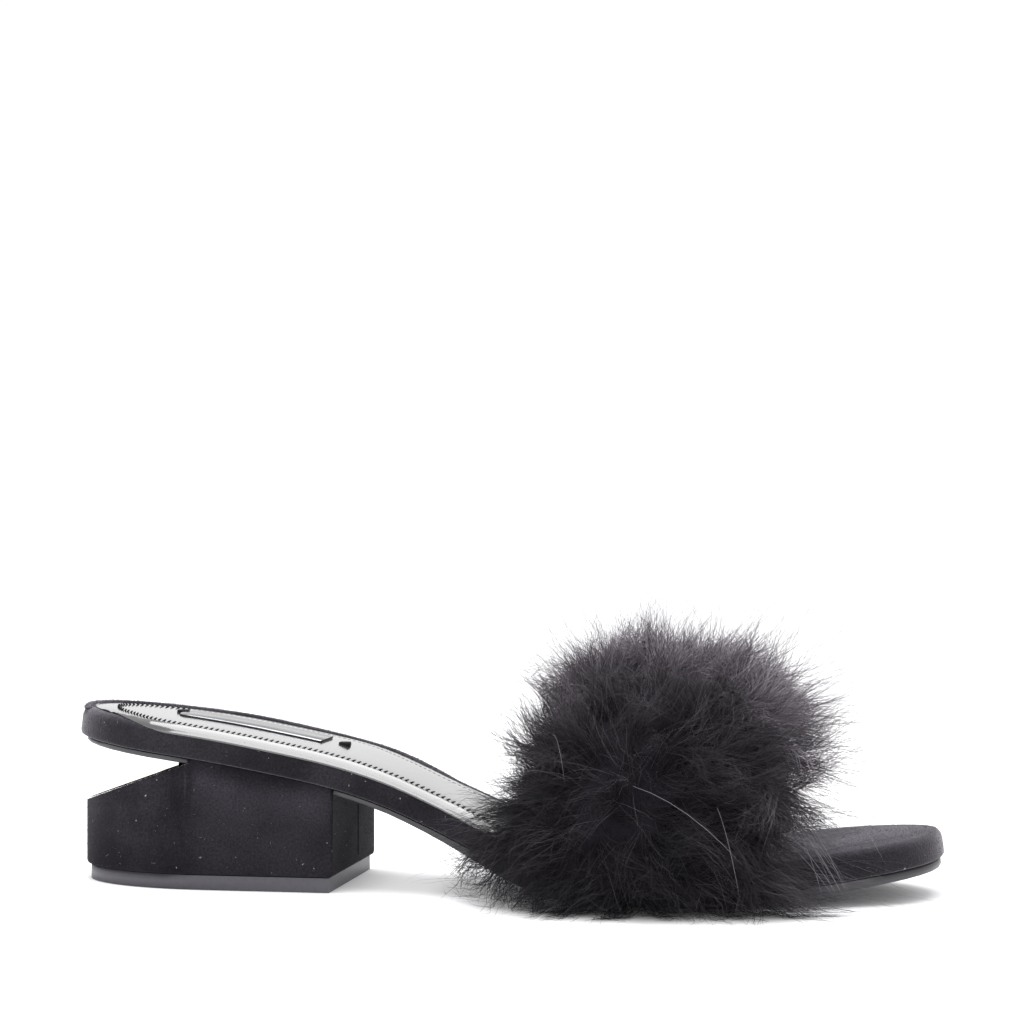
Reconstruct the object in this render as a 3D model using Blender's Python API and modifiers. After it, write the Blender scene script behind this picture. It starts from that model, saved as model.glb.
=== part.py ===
"""Fur slide sandal, right shoe: a fur-covered strap on a suede footbed and a low block heel.

Metres. +X runs to the toe, +Y to the inner (medial) side, +Z up.
The origin is the centre of the heel's resting face, on the floor.
"""
import random
from math import atan2, cos, pi, radians, sin, sqrt

import bmesh
import bpy
import numpy as np
from mathutils import Matrix, Vector

# Sole
SOLE_LENGTH = 0.2560        # back of the seat to the tip of the toe
SEAT_WIDTH = 0.0600
WAIST_WIDTH = 0.0470
BALL_WIDTH = 0.0822
TOE_WIDTH = 0.0640
SEAT_RISE = 0.0364          # underside of the sole above the floor, over the middle of the heel
TOE_SPRING = 0.0086         # underside of the sole above the floor, at the tip of the toe
FOOTBED_THICK = 0.0080
SHANK_EDGE = 0.0016         # outsole's thickness from the seat to the waist
FORE_EDGE = 0.0027          # outsole's thickness under the ball and toe
EDGE_SETBACK = 0.0010       # outsole's edge inside the footbed's
INSOLE_THICK = 0.0012
INSOLE_MARGIN = 0.0040      # suede rim left round the insole
INSOLE_SHIFT = 0.0010       # how far the insole sits towards the outer side
GAP = 0.0003                # between pieces that touch

# Heel
HEEL_LENGTH = 0.0814
HEEL_SETBACK = 0.0025       # heel's side inside the seat's
SEAT_OVERHANG = 0.0020      # seat's back beyond the heel's back wall
HEEL_BACK_HEIGHT = 0.0229   # top of the heel's back wall, above the floor
NOTCH_BACK = 0.0019         # where the slant meets the sole, behind the heel's middle
HEEL_ROUND_LENGTH = 0.0420  # length of the rounded back part
HEEL_LIP = 0.0012           # suede that covers the outsole's edge
HEEL_EDGE_RADIUS = 0.0010
LIFT_THICK = 0.0042
LIFT_INSET = 0.0013         # top piece's wall inside the heel's
PLATE_THICK = 0.0008
PLATE_INSET = 0.0004
PLATE_STOP = 0.0030         # the plate ends this far behind the notch

# Upper
STRAP_BACK = 0.0945         # strap's back and front edges at the sole, ahead of the heel's middle
STRAP_FRONT = 0.1630
STRAP_WALL = 0.0022
BACK_CROWN = 0.0375         # room under the strap's middle, above the footbed
FRONT_CROWN = 0.0355
STRAP_TUCK = 0.0110         # strap's end under the footbed
STRAP_EASE = 0.0005         # between the strap and the footbed's side
BACK_LEAN_SHARE = 0.24      # how far the strap's back edge leans forward for each unit it rises
FRONT_LEAN_SHARE = -0.05    # the same for its front edge
ARCH_FULLNESS = 0.88        # 1 is a half ellipse, less is squarer
FUR_DEPTH = 0.0125          # dense fur over the strap
LOCK_LENGTH = 0.0190        # longest lock that stands out of the dense fur
LOCK_WAIST = 0.52           # lock's width part of the way out, as a share of its foot
LOCK_SWAY_SHARE = 0.22      # sideways swing and sag of a lock, for each unit of its length
LOCK_SAG_SHARE = 0.25
FUR_FAN_BACK = radians(70)  # how far the fur lies over at the strap's two edges
FUR_FAN_FRONT = radians(58)
FUR_DROOP = radians(38)     # how far it hangs at the strap's two ends
FUR_END_SHARE = 0.55        # its depth at the strap's two ends, as a share
FUR_TRIM_BACK_SHARE = 0.48  # how much shorter it is where the strap's back edge crosses the crown
FUR_TRIM_FRONT_SHARE = 0.10
FUR_UNEVEN_SHARE = 0.07     # how much its depth varies
LOCK_SHORTEST_SHARE = 0.55  # the shortest lock, as a share of the longest at its place
FLOOR_CLEAR = 0.0015        # lowest fur above the floor

# Label
LABEL_LENGTH = 0.0500
LABEL_WIDTH = 0.0150
LABEL_THICK = 0.0007
LABEL_CENTRE = (0.0110, 0.0035)

SEED = 7
SOLE_BACK = -(HEEL_LENGTH / 2 + SEAT_OVERHANG)
STATIONS = 34               # along the straight part of the sole
END_STATIONS = 9            # in each end, where the plan closes
STEP = 0.0001               # run of the outsole's step at the heel
PLAN_STEP = 0.002           # share of the length over which slopes are read
TUCK_POINTS = 5             # points of the strap's section that lie under the fur's lower edge

# Widths of the sole: share of its length, the width followed, outer and inner reach as shares of it
PLAN = (
    (0.000, SEAT_WIDTH, 0.490, 0.508),
    (0.164, SEAT_WIDTH, 0.492, 0.513),
    (0.285, SEAT_WIDTH, 0.485, 0.488),
    (0.325, SEAT_WIDTH, 0.480, 0.468),
    (0.425, WAIST_WIDTH, 0.620, 0.390),
    (0.495, WAIST_WIDTH, 0.680, 0.450),
    (0.575, BALL_WIDTH, 0.447, 0.389),
    (0.656, BALL_WIDTH, 0.490, 0.484),
    (0.726, BALL_WIDTH, 0.487, 0.513),
    (0.816, BALL_WIDTH, 0.445, 0.492),
    (0.886, TOE_WIDTH, 0.500, 0.570),
    (1.000, TOE_WIDTH, 0.480, 0.380),
)
# Where the plan closes: share of the length that is rounded, fullness of the curve, Y of its tip
HEEL_CLOSE = (0.165, 2.1, 0.0005)
TOE_CLOSE = (0.160, 2.3, 0.0030)

# Underside of the sole: share of its length, the height followed, share of it
PROFILE = (
    (0.000, SEAT_RISE, 1.149),
    (0.086, SEAT_RISE, 1.069),
    (0.164, SEAT_RISE, 1.000),
    (0.243, SEAT_RISE, 0.905),
    (0.320, SEAT_RISE, 0.792),
    (0.383, SEAT_RISE, 0.655),
    (0.427, SEAT_RISE, 0.518),
    (0.473, SEAT_RISE, 0.357),
    (0.519, SEAT_RISE, 0.190),
    (0.555, SEAT_RISE, 0.086),
    (0.593, SEAT_RISE, 0.017),
    (0.626, SEAT_RISE, 0.000),
    (0.746, TOE_SPRING, 0.000),
    (0.796, TOE_SPRING, 0.110),
    (0.861, TOE_SPRING, 0.385),
    (0.936, TOE_SPRING, 0.730),
    (1.000, TOE_SPRING, 1.000),
)

# Edge of the sole: share of its length, outsole's thickness, its setback as a share of
# EDGE_SETBACK, footbed's thickness as a share of FOOTBED_THICK
SOLE_EDGE = (
    (0.00, SHANK_EDGE, 2.30, 1.07),
    (0.07, SHANK_EDGE, 0.90, 1.06),
    (0.17, SHANK_EDGE, 0.60, 1.02),
    (0.39, SHANK_EDGE, 0.60, 1.00),
    (0.53, FORE_EDGE, 0.60, 1.00),
    (0.88, FORE_EDGE, 0.60, 1.00),
    (1.00, FORE_EDGE, 1.30, 1.00),
)

# Rim of the footbed, bottom to top: share of its thickness, inset as a share of it
FOOTBED_RIM = (
    (0.00, 0.110),
    (0.05, 0.030),
    (0.15, 0.000),
    (0.62, 0.000),
    (0.82, 0.040),
    (0.94, 0.125),
    (1.00, 0.270),
)

# Fur from the strap's back edge to its front: share of the way, depth and lock length as shares
FUR_SHAPE = (
    (0.00, 0.50, 0.70),
    (0.25, 0.92, 0.85),
    (0.50, 1.12, 1.00),
    (0.75, 1.00, 0.90),
    (1.00, 0.50, 0.70),
)


def smooth_curve(rows):
    """A curve through (place, value) rows that never overshoots them."""
    xs = np.array([row[0] for row in rows], float)
    ys = np.array([row[1] for row in rows], float)
    steps = np.diff(xs)
    slopes = np.diff(ys) / steps
    grades = np.zeros(len(xs))
    grades[0], grades[-1] = slopes[0], slopes[-1]
    for i in range(1, len(xs) - 1):
        if slopes[i - 1] * slopes[i] > 0:
            before, after = 2 * steps[i] + steps[i - 1], steps[i] + 2 * steps[i - 1]
            grades[i] = (before + after) / (before / slopes[i - 1] + after / slopes[i])

    def value(x):
        i = int(np.clip(np.searchsorted(xs, x) - 1, 0, len(steps) - 1))
        t = (x - xs[i]) / steps[i]
        h = steps[i]
        return float(
            ys[i] * (1 + 2 * t) * (1 - t) ** 2
            + grades[i] * h * t * (1 - t) ** 2
            + ys[i + 1] * t * t * (3 - 2 * t)
            - grades[i + 1] * h * t * t * (1 - t)
        )

    return value


underside = smooth_curve([(share, size * part) for share, size, part in PROFILE])
outsole_thick = smooth_curve([(row[0], row[1]) for row in SOLE_EDGE])
outsole_setback = smooth_curve([(row[0], EDGE_SETBACK * row[2]) for row in SOLE_EDGE])
footbed_thick = smooth_curve([(row[0], FOOTBED_THICK * row[3]) for row in SOLE_EDGE])
fur_depth = smooth_curve([(row[0], FUR_DEPTH * row[1]) for row in FUR_SHAPE])
lock_length = smooth_curve([(row[0], LOCK_LENGTH * row[2]) for row in FUR_SHAPE])
outer_reach = smooth_curve([(share, -size * out) for share, size, out, _ in PLAN])
inner_reach = smooth_curve([(share, size * inn) for share, size, _, inn in PLAN])


def share_at(x):
    return min(1.0, max(0.0, (x - SOLE_BACK) / SOLE_LENGTH))


def on_sole(x, y, h):
    """The point h above the sole's underside, square to its bend, over plan point x, y."""
    s = share_at(x)
    before, after = max(0.0, s - PLAN_STEP), min(1.0, s + PLAN_STEP)
    rise = underside(after) - underside(before)
    run = (after - before) * SOLE_LENGTH
    slope = rise / run
    tilt = 1 / sqrt(1 + slope * slope)
    return Vector((x - slope * tilt * h, y, underside(s) + tilt * h))


def in_footbed(x, up):
    """Height above the sole's underside, at a share of the footbed's thickness."""
    return outsole_thick(share_at(x)) + up * footbed_thick(share_at(x))


def footbed_top(x):
    return in_footbed(x, 1.0)


def outsole_steps():
    """Where the outsole narrows to pass between the heel's lips, back and front."""
    return -NOTCH_BACK - GAP, HEEL_LENGTH / 2 + GAP


def plan_sides(s):
    """Outer and inner Y of the sole's edge at a share of its length."""
    out, inn = outer_reach(s), inner_reach(s)
    for edge, (length, fullness, tip) in ((0.0, HEEL_CLOSE), (1.0, TOE_CLOSE)):
        depth = 1 - abs(s - edge) / length
        if depth > 0:
            cap = max(0.0, 1 - depth**fullness) ** (1 / fullness)
            out, inn = tip + (out - tip) * cap, tip + (inn - tip) * cap
    return out, inn


def stations():
    """Shares of the length, crowded where the plan closes and at the outsole's two steps."""
    bends = [1 - cos(pi / 2 * i / END_STATIONS) for i in range(END_STATIONS)]
    span = 1 - TOE_CLOSE[0] - HEEL_CLOSE[0]
    body = [HEEL_CLOSE[0] + span * i / (STATIONS - 1) for i in range(STATIONS)]
    body += [HEEL_CLOSE[0] * bend for bend in bends]
    body += [1 - TOE_CLOSE[0] * bend for bend in bends]
    back, front = outsole_steps()
    steps = [share_at(x) for x in (back - STEP, back, front, front + STEP)]
    near = STEP * 4 / SOLE_LENGTH
    clear = [s for s in body if all(abs(s - step) > near for step in steps)]
    return sorted(clear + steps)


def inward(s, side):
    """Direction square to the sole's outer (0) or inner (1) edge, into the sole."""
    step = min(PLAN_STEP, s / 2, (1 - s) / 2)
    if step <= 0:
        return Vector((1 - 2 * s, 0))
    rise = plan_sides(s + step)[side] - plan_sides(s - step)[side]
    along = Vector((2 * step * SOLE_LENGTH, rise)).normalized()
    return Vector((-along.y, along.x)) * (1 if side == 0 else -1)


def plan_edges(inset=0.0, front=1.0):
    """Outer and inner edge points (x, y), heel to toe, moved in by inset. front cuts the toe off."""
    edges = []
    for side in (0, 1):
        line = []
        for share in stations():
            s = share * front
            point = Vector((SOLE_BACK + s * SOLE_LENGTH, plan_sides(s)[side]))
            shift = inset(point.x) if callable(inset) else inset
            line.append(point + inward(s, side) * shift)
        edges.append(line)
    return edges


def new_object(name, mesh, collection, look=None):
    body = bpy.data.objects.new(name, mesh)
    collection.objects.link(body)
    if look:
        body.data.materials.append(look)
    return body


def mesh_from(name, points, faces):
    """A closed mesh: doubles are merged, and the faces point out."""
    mesh = bpy.data.meshes.new(name)
    mesh.from_pydata([tuple(p) for p in points], [], faces)
    form = bmesh.new()
    form.from_mesh(mesh)
    bmesh.ops.remove_doubles(form, verts=form.verts, dist=1e-6)
    bmesh.ops.recalc_face_normals(form, faces=form.faces)
    if form.calc_volume(signed=True) < 0:
        bmesh.ops.reverse_faces(form, faces=form.faces)
    form.to_mesh(mesh)
    form.free()
    return mesh


def loft_layers(name, layers):
    """A solid through layers of (outer edge, inner edge), with flat-across lids below and above."""
    count = len(layers[0][0])
    ring = 2 * count
    points, faces = [], []
    for outer, inner in layers:
        points += outer + inner[::-1]
    for k in range(len(layers) - 1):
        for i in range(ring):
            a, b = k * ring + i, k * ring + (i + 1) % ring
            faces.append((a, b, b + ring, a + ring))
    for k in (0, len(layers) - 1):
        for i in range(count - 1):
            left, right = k * ring + i, k * ring + ring - 1 - i
            faces.append((left, left + 1, right - 1, right))
    return mesh_from(name, points, faces)


def sole_layer(inset, height, front=1.0):
    """One layer of a piece that follows the sole: its edge at an inset and a height."""
    layer = []
    for side in plan_edges(inset, front):
        layer.append([on_sole(p.x, p.y, height(p.x) if callable(height) else height) for p in side])
    return layer


def cut(body, cutter, operation="DIFFERENCE"):
    knife = body.modifiers.new("cut_by_" + cutter.name, "BOOLEAN")
    knife.operation = operation
    knife.solver = "EXACT"
    knife.object = cutter
    cutter.hide_render = True
    cutter.display_type = "WIRE"


def material(name, colour, roughness, metallic=0.0):
    look = bpy.data.materials.new(name)
    look.use_nodes = True
    shader = look.node_tree.nodes["Principled BSDF"]
    shader.inputs["Base Color"].default_value = (*colour, 1)
    shader.inputs["Roughness"].default_value = roughness
    shader.inputs["Metallic"].default_value = metallic
    return look


# Heel and what it stands on

def heel_outline(inset):
    """Flat front, straight sides and a rounded back, seen from above."""
    half = SEAT_WIDTH / 2 - HEEL_SETBACK - inset
    reach = HEEL_LENGTH / 2 - inset
    turn = HEEL_ROUND_LENGTH - HEEL_LENGTH / 2
    steps = 24
    points = [Vector((reach, -half)), Vector((reach, half))]
    for i in range(steps + 1):
        angle = pi / 2 + pi * i / steps
        points.append(Vector((turn + (reach + turn) * cos(angle), half * sin(angle))))
    return points


def prism(name, outline, low, high):
    count = len(outline)
    points = [(p.x, p.y, z) for z in (low, high) for p in outline]
    faces = [tuple(range(count)), tuple(range(count, 2 * count))]
    for i in range(count):
        j = (i + 1) % count
        faces.append((i, j, j + count, i + count))
    return mesh_from(name, points, faces)


def slant():
    """Angle of the heel's cut-away back, and the point where it meets the sole."""
    meet = Vector((-NOTCH_BACK, 0, underside(share_at(-NOTCH_BACK))))
    rise = meet.z - HEEL_BACK_HEIGHT
    return atan2(rise, meet.x + HEEL_LENGTH / 2), meet


def slab(name, low, high, front, collection):
    """A slanted slab over the heel's back, between two heights square to the slant."""
    angle, meet = slant()
    length = HEEL_LENGTH
    form = bmesh.new()
    bmesh.ops.create_cube(form, size=1)
    place = (
        Matrix.Translation(meet)
        @ Matrix.Rotation(-angle, 4, "Y")
        @ Matrix.Translation((-length / 2 - front, 0, (low + high) / 2))
        @ Matrix.Diagonal((length, SEAT_WIDTH * 2, high - low, 1))
    )
    bmesh.ops.transform(form, matrix=place, verts=form.verts)
    mesh = bpy.data.meshes.new(name)
    form.to_mesh(mesh)
    form.free()
    return new_object(name, mesh, collection)


def outsole_inset(x):
    """The outsole's edge, drawn in where the heel's suede covers it."""
    back, front = outsole_steps()
    if back - STEP / 2 <= x <= front + STEP / 2:
        return HEEL_SETBACK + HEEL_LIP + GAP
    return outsole_setback(share_at(x))


def make_top_piece(parts, look):
    mesh = prism("top_piece", heel_outline(LIFT_INSET), 0.0, LIFT_THICK)
    return new_object("top_piece", mesh, parts, look)


def make_heel_block(parts, cutters, look):
    """The block rises past the sole, then the slant and the sole's own layers are cut from it."""
    mesh = prism("heel_block", heel_outline(0.0), LIFT_THICK + GAP, SEAT_RISE + FOOTBED_THICK)
    block = new_object("heel_block", mesh, parts, look)
    soften = block.modifiers.new("soft_edges", "BEVEL")
    soften.width = HEEL_EDGE_RADIUS
    soften.segments = 2
    soften.limit_method = "ANGLE"
    soften.angle_limit = radians(40)
    cut(block, slab("slant_cutter", 0.0, HEEL_LENGTH, 0.0, cutters))
    tall = FOOTBED_THICK * 3
    low = [sole_layer(lambda x: outsole_inset(x) - GAP, h) for h in (-GAP, tall)]
    cut(block, new_object("sole_cutter", loft_layers("sole_cutter", low), cutters))
    edge = [sole_layer(-FOOTBED_THICK, lambda x: outsole_thick(share_at(x)) - GAP)]
    edge.append(sole_layer(-FOOTBED_THICK, tall))
    cut(block, new_object("footbed_cutter", loft_layers("footbed_cutter", edge), cutters))
    return block


def make_heel_plate(parts, cutters, look):
    mesh = prism("heel_plate", heel_outline(PLATE_INSET), LIFT_THICK, SEAT_RISE + FOOTBED_THICK)
    plate = new_object("heel_plate", mesh, parts, look)
    sheet = slab("plate_sheet", GAP, GAP + PLATE_THICK, PLATE_STOP, cutters)
    cut(plate, sheet, "INTERSECT")
    return plate


# Sole, footbed and insole

def make_outsole(parts, look):
    layers = [
        sole_layer(lambda x: outsole_inset(x) + SHANK_EDGE / 4, 0.0),
        sole_layer(outsole_inset, SHANK_EDGE / 4),
        sole_layer(outsole_inset, lambda x: outsole_thick(share_at(x)) - GAP),
    ]
    return new_object("outsole", loft_layers("outsole", layers), parts, look)


def make_footbed(parts, cutters, look):
    layers = []
    for up, inset in FOOTBED_RIM:
        layers.append(sole_layer(inset * FOOTBED_THICK, lambda x: in_footbed(x, up)))
    body = new_object("footbed", loft_layers("footbed", layers), parts, look)
    for side in (0, 1):
        cut(body, tuck_cutter(side, cutters))
    recess = [insole_layer(-GAP, -GAP, GAP), insole_layer(-GAP, FOOTBED_THICK, GAP)]
    cut(body, new_object("insole_cutter", loft_layers("insole_cutter", recess), cutters))
    return body


def insole_layer(inset, up, past=0.0):
    """One layer of the insole, at a height above its underside, let into the footbed."""
    front = share_at((STRAP_BACK + STRAP_FRONT) / 2 + past)
    height = lambda x: footbed_top(x) - INSOLE_THICK + GAP + up
    sides = sole_layer(INSOLE_MARGIN + inset, height, front)
    return [[p - Vector((0, INSOLE_SHIFT, 0)) for p in side] for side in sides]


def make_insole(parts, look):
    rim = INSOLE_THICK / 3
    layers = [
        insole_layer(0.0, 0.0),
        insole_layer(0.0, INSOLE_THICK - rim),
        insole_layer(rim, INSOLE_THICK),
    ]
    return new_object("insole", loft_layers("insole", layers), parts, look)


def make_label(parts, look):
    """A long narrow bare plate with rounded corners that follows the insole's bend."""
    half, corner = LABEL_LENGTH / 2, LABEL_WIDTH / 4
    places = [-half + corner * (1 - cos(pi / 2 * i / 4)) for i in range(4)]
    places += [-half + corner + (LABEL_LENGTH - 2 * corner) * i / 6 for i in range(7)]
    places += [-p for p in places[3::-1]]
    layers = []
    for inset, up in ((0.0, 0.0), (0.0, 0.6), (LABEL_THICK / 2, 1.0)):
        sides = ([], [])
        for place in places:
            past = max(0.0, abs(place) - (half - corner))
            round_off = corner - sqrt(max(0.0, corner**2 - past**2))
            x = LABEL_CENTRE[0] + place * (1 - inset / half)
            reach = LABEL_WIDTH / 2 - round_off - inset
            h = footbed_top(x) + 2 * GAP + up * LABEL_THICK
            sides[0].append(on_sole(x, LABEL_CENTRE[1] - reach, h))
            sides[1].append(on_sole(x, LABEL_CENTRE[1] + reach, h))
        layers.append(sides)
    return new_object("label_plate", loft_layers("label_plate", layers), parts, look)


# Upper

def strap_stations():
    """The sole's own stations between the strap's two edges, so that the walls run side by side."""
    places = [SOLE_BACK + s * SOLE_LENGTH for s in stations()]
    inside = [x for x in places if STRAP_BACK + 2 * STRAP_WALL < x < STRAP_FRONT - 2 * STRAP_WALL]
    return [STRAP_BACK] + inside + [STRAP_FRONT]


def strap_section(x, arch_steps=18):
    """Middle line of the strap's wall at one station: (y, height on the sole, rise of the arch)."""
    out, inn = plan_sides(share_at(x))
    seat = outsole_thick(share_at(x)) + GAP + STRAP_WALL / 2
    off = STRAP_EASE + STRAP_WALL / 2
    top = footbed_top(x)
    along = (x - STRAP_BACK) / (STRAP_FRONT - STRAP_BACK)
    crown = BACK_CROWN + (FRONT_CROWN - BACK_CROWN) * along + STRAP_WALL / 2
    turn = STRAP_WALL * 0.65
    left = [(out + STRAP_TUCK, seat, 0.0), (out + STRAP_TUCK / 2, seat, 0.0)]
    for i in range(4):
        angle = pi / 2 * i / 3
        left.append((out - off + turn * (1 - sin(angle)), seat + turn * (1 - cos(angle)), 0.0))
    right = [(out + inn - y, h, r) for y, h, r in left[::-1]]
    arch = []
    for i in range(arch_steps + 1):
        angle = pi * i / arch_steps
        middle, half = (out + inn) / 2, (inn - out) / 2 + off
        flat = abs(cos(angle)) ** ARCH_FULLNESS * (1 if cos(angle) < 0 else -1)
        arch.append((middle + half * flat, top, crown * sin(angle) ** ARCH_FULLNESS))
    return left + arch + right


def place_section(x, section):
    """The section's points in space: on the sole below its top, upright and leaning above."""
    along = (x - STRAP_BACK) / (STRAP_FRONT - STRAP_BACK)
    lean = BACK_LEAN_SHARE + (FRONT_LEAN_SHARE - BACK_LEAN_SHARE) * along
    return [on_sole(x, y, h) + Vector((lean * rise, 0, rise)) for y, h, rise in section]


def offset_section(section, distance):
    """The section moved outward by a distance, in its own plane."""
    flat = [Vector((y, h + rise)) for y, h, rise in section]
    moved = []
    for i, (y, h, rise) in enumerate(section):
        along = flat[min(i + 1, len(flat) - 1)] - flat[max(i - 1, 0)]
        out = Vector((-along.y, along.x)).normalized() * distance
        if rise > 0:
            moved.append((y + out.x, h, rise + out.y))
        else:
            moved.append((y + out.x, h + out.y, 0.0))
    return moved


def make_strap(parts, look):
    """One hollow band: its wall follows the section, and its ends turn in under the footbed."""
    rings = []
    for x in strap_stations():
        middle = strap_section(x)
        outer = place_section(x, offset_section(middle, STRAP_WALL / 2))
        inner = place_section(x, offset_section(middle, -STRAP_WALL / 2))
        rings.append((outer, inner))
    return new_object("upper_strap", loft_layers("upper_strap", rings), parts, look)


def tuck_cutter(side, cutters):
    """The recess in the footbed's underside that takes one end of the strap."""
    count = 12
    low_edge, high_edge = [[], []], [[], []]
    for i in range(count):
        span = STRAP_FRONT - STRAP_BACK + 2 * GAP
        x = STRAP_BACK - GAP + span * i / (count - 1)
        edge = plan_sides(share_at(x))[side]
        way = 1 if side == 0 else -1
        ends = (edge - way * FOOTBED_THICK, edge + way * (STRAP_TUCK + GAP))
        thick = outsole_thick(share_at(x))
        for k, y in enumerate(sorted(ends)):
            low_edge[k].append(on_sole(x, y, thick - STRAP_WALL))
            high_edge[k].append(on_sole(x, y, thick + STRAP_WALL + 2 * GAP))
    name = "tuck_cutter_" + ("outer" if side == 0 else "inner")
    return new_object(name, loft_layers(name, [low_edge, high_edge]), cutters)


def fur_grid():
    """Points just off the strap's outer face, on its own stations and section points."""
    grid = []
    for x in strap_stations():
        section = offset_section(strap_section(x), STRAP_WALL / 2 + GAP)
        grid.append(place_section(x, section)[TUCK_POINTS:-TUCK_POINTS])
    return grid


def fur_ways(grid):
    """At each point of the strap's face, the way in which its fur stands."""
    rows, columns = len(grid), len(grid[0])
    ways = []
    for j in range(rows):
        line = []
        for i in range(columns):
            around = grid[j][min(i + 1, columns - 1)] - grid[j][max(i - 1, 0)]
            forward = grid[min(j + 1, rows - 1)][i] - grid[max(j - 1, 0)][i]
            around.normalize()
            forward.normalize()
            out = forward.cross(around).normalized()
            if out.y * grid[j][i].y < 0 and abs(out.y) > 0.5:
                out.negate()
            lie = 2 * j / (rows - 1) - 1
            side = 2 * i / (columns - 1) - 1
            fan = lie * (FUR_FAN_FRONT if lie > 0 else FUR_FAN_BACK)
            fan *= 1 - (FUR_TRIM_FRONT_SHARE if lie > 0 else FUR_TRIM_BACK_SHARE) * (1 - abs(side))
            droop = FUR_DROOP * side**5
            way = out * cos(fan) * cos(droop) + forward * sin(fan) + around * sin(droop)
            line.append(way.normalized())
        ways.append(line)
    return ways


def fur_trim(along, across):
    """Share of the fur's length that is left, at shares along the strap and across the foot."""
    trim = FUR_TRIM_FRONT_SHARE if along > 0.5 else FUR_TRIM_BACK_SHARE
    return 1 - trim * (2 * along - 1) ** 2 * sin(pi * across)


def above_floor(point, root):
    """The point, drawn back towards its root until it is clear of the floor."""
    if point.z >= FLOOR_CLEAR:
        return point
    t = (root.z - FLOOR_CLEAR) / (root.z - point.z)
    return root.lerp(point, max(0.0, t))


def make_fur(parts, look):
    """A pillow of dense fur over the strap's face, with a lock drawn out of each of its cells."""
    dice = random.Random(SEED)
    grid = fur_grid()
    ways = fur_ways(grid)
    rows, columns = len(grid), len(grid[0])
    skin = []
    for j in range(rows):
        line = []
        for i in range(columns):
            end = FUR_END_SHARE if i in (0, columns - 1) else 1.0
            full = end * fur_trim(j / (rows - 1), i / (columns - 1))
            depth = fur_depth(j / (rows - 1)) * full
            depth *= 1 + dice.uniform(-FUR_UNEVEN_SHARE, FUR_UNEVEN_SHARE)
            line.append(above_floor(grid[j][i] + ways[j][i] * depth, grid[j][i]))
        skin.append(line)
    points = [p for row in grid for p in row] + [p for row in skin for p in row]
    base = rows * columns
    faces = []
    for j in range(rows - 1):
        for i in range(columns - 1):
            a = j * columns + i
            faces.append((a, a + 1, a + columns + 1, a + columns))
            corners = [base + a, base + a + 1, base + a + columns + 1, base + a + columns]
            place = (j + 0.5) / (rows - 1)
            full = fur_trim(place, (i + 0.5) / (columns - 1))
            length = lock_length(place) * full * dice.uniform(LOCK_SHORTEST_SHARE, 1.0)
            add_lock(points, faces, corners, ways[j][i], length, dice)
    edge = [j * columns for j in range(rows)] + [base - columns + i for i in range(1, columns)]
    edge += [j * columns + columns - 1 for j in range(rows - 2, -1, -1)]
    edge += list(range(columns - 2, 0, -1))
    for a, b in zip(edge, edge[1:] + edge[:1]):
        faces.append((a, b, b + base, a + base))
    return new_object("fur", mesh_from("fur", points, faces), parts, look)


def add_lock(points, faces, corners, way, length, dice):
    """A tapering lock on one cell of the fur: a narrower ring part of the way out, then a tip."""
    centre = sum((points[c] for c in corners), Vector()) / 4
    sway = Vector([dice.uniform(-LOCK_SWAY_SHARE, LOCK_SWAY_SHARE) for _ in range(3)])
    sag = Vector((0, 0, -LOCK_SAG_SHARE))
    middle = above_floor(centre + (way + sway * 0.5) * length * 0.5, centre)
    tip = above_floor(centre + (way + sway + sag).normalized() * length, centre)
    ring = []
    for corner in corners:
        ring.append(len(points))
        points.append(above_floor(middle + (points[corner] - centre) * LOCK_WAIST, centre))
    end = len(points)
    points.append(tip)
    for k in range(4):
        n = (k + 1) % 4
        faces.append((corners[k], corners[n], ring[n], ring[k]))
        faces.append((ring[k], ring[n], end))


def main():
    for old in list(bpy.data.objects):
        bpy.data.objects.remove(old)
    parts = bpy.data.collections.new("fur_slide_sandal")
    cutters = bpy.data.collections.new("cutters")
    for group in (parts, cutters):
        bpy.context.scene.collection.children.link(group)

    suede = material("black_suede", (0.018, 0.016, 0.020), 0.95)
    rubber = material("black_rubber", (0.035, 0.034, 0.038), 0.45)
    edge = material("edge_black_leather", (0.020, 0.019, 0.022), 0.22)
    leather = material("glossy_leather", (0.025, 0.025, 0.027), 0.25)
    metal = material("mirror_metal", (0.83, 0.80, 0.70), 0.10, 1.0)
    patent = material("label_gunmetal", (0.10, 0.10, 0.11), 0.20, 0.5)
    lining = material("strap_leather", (0.020, 0.019, 0.021), 0.60)
    pile = material("black_fur", (0.016, 0.014, 0.018), 0.80)

    make_top_piece(parts, rubber)
    make_heel_block(parts, cutters, suede)
    make_heel_plate(parts, cutters, metal)
    make_outsole(parts, edge)
    make_footbed(parts, cutters, suede)
    make_insole(parts, leather)
    make_label(parts, patent)
    make_strap(parts, lining)
    make_fur(parts, pile)


main()
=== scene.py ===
"""Fur slide sandal, right shoe, dressed for the photograph's view.

The shoe is put together from the floor up: heel, sole, footbed, insole, label, strap and fur.
"""
from math import cos, pi, radians, sin

import bmesh
import bpy
import numpy as np
from mathutils import Matrix, Vector
from mathutils.bvhtree import BVHTree


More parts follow.
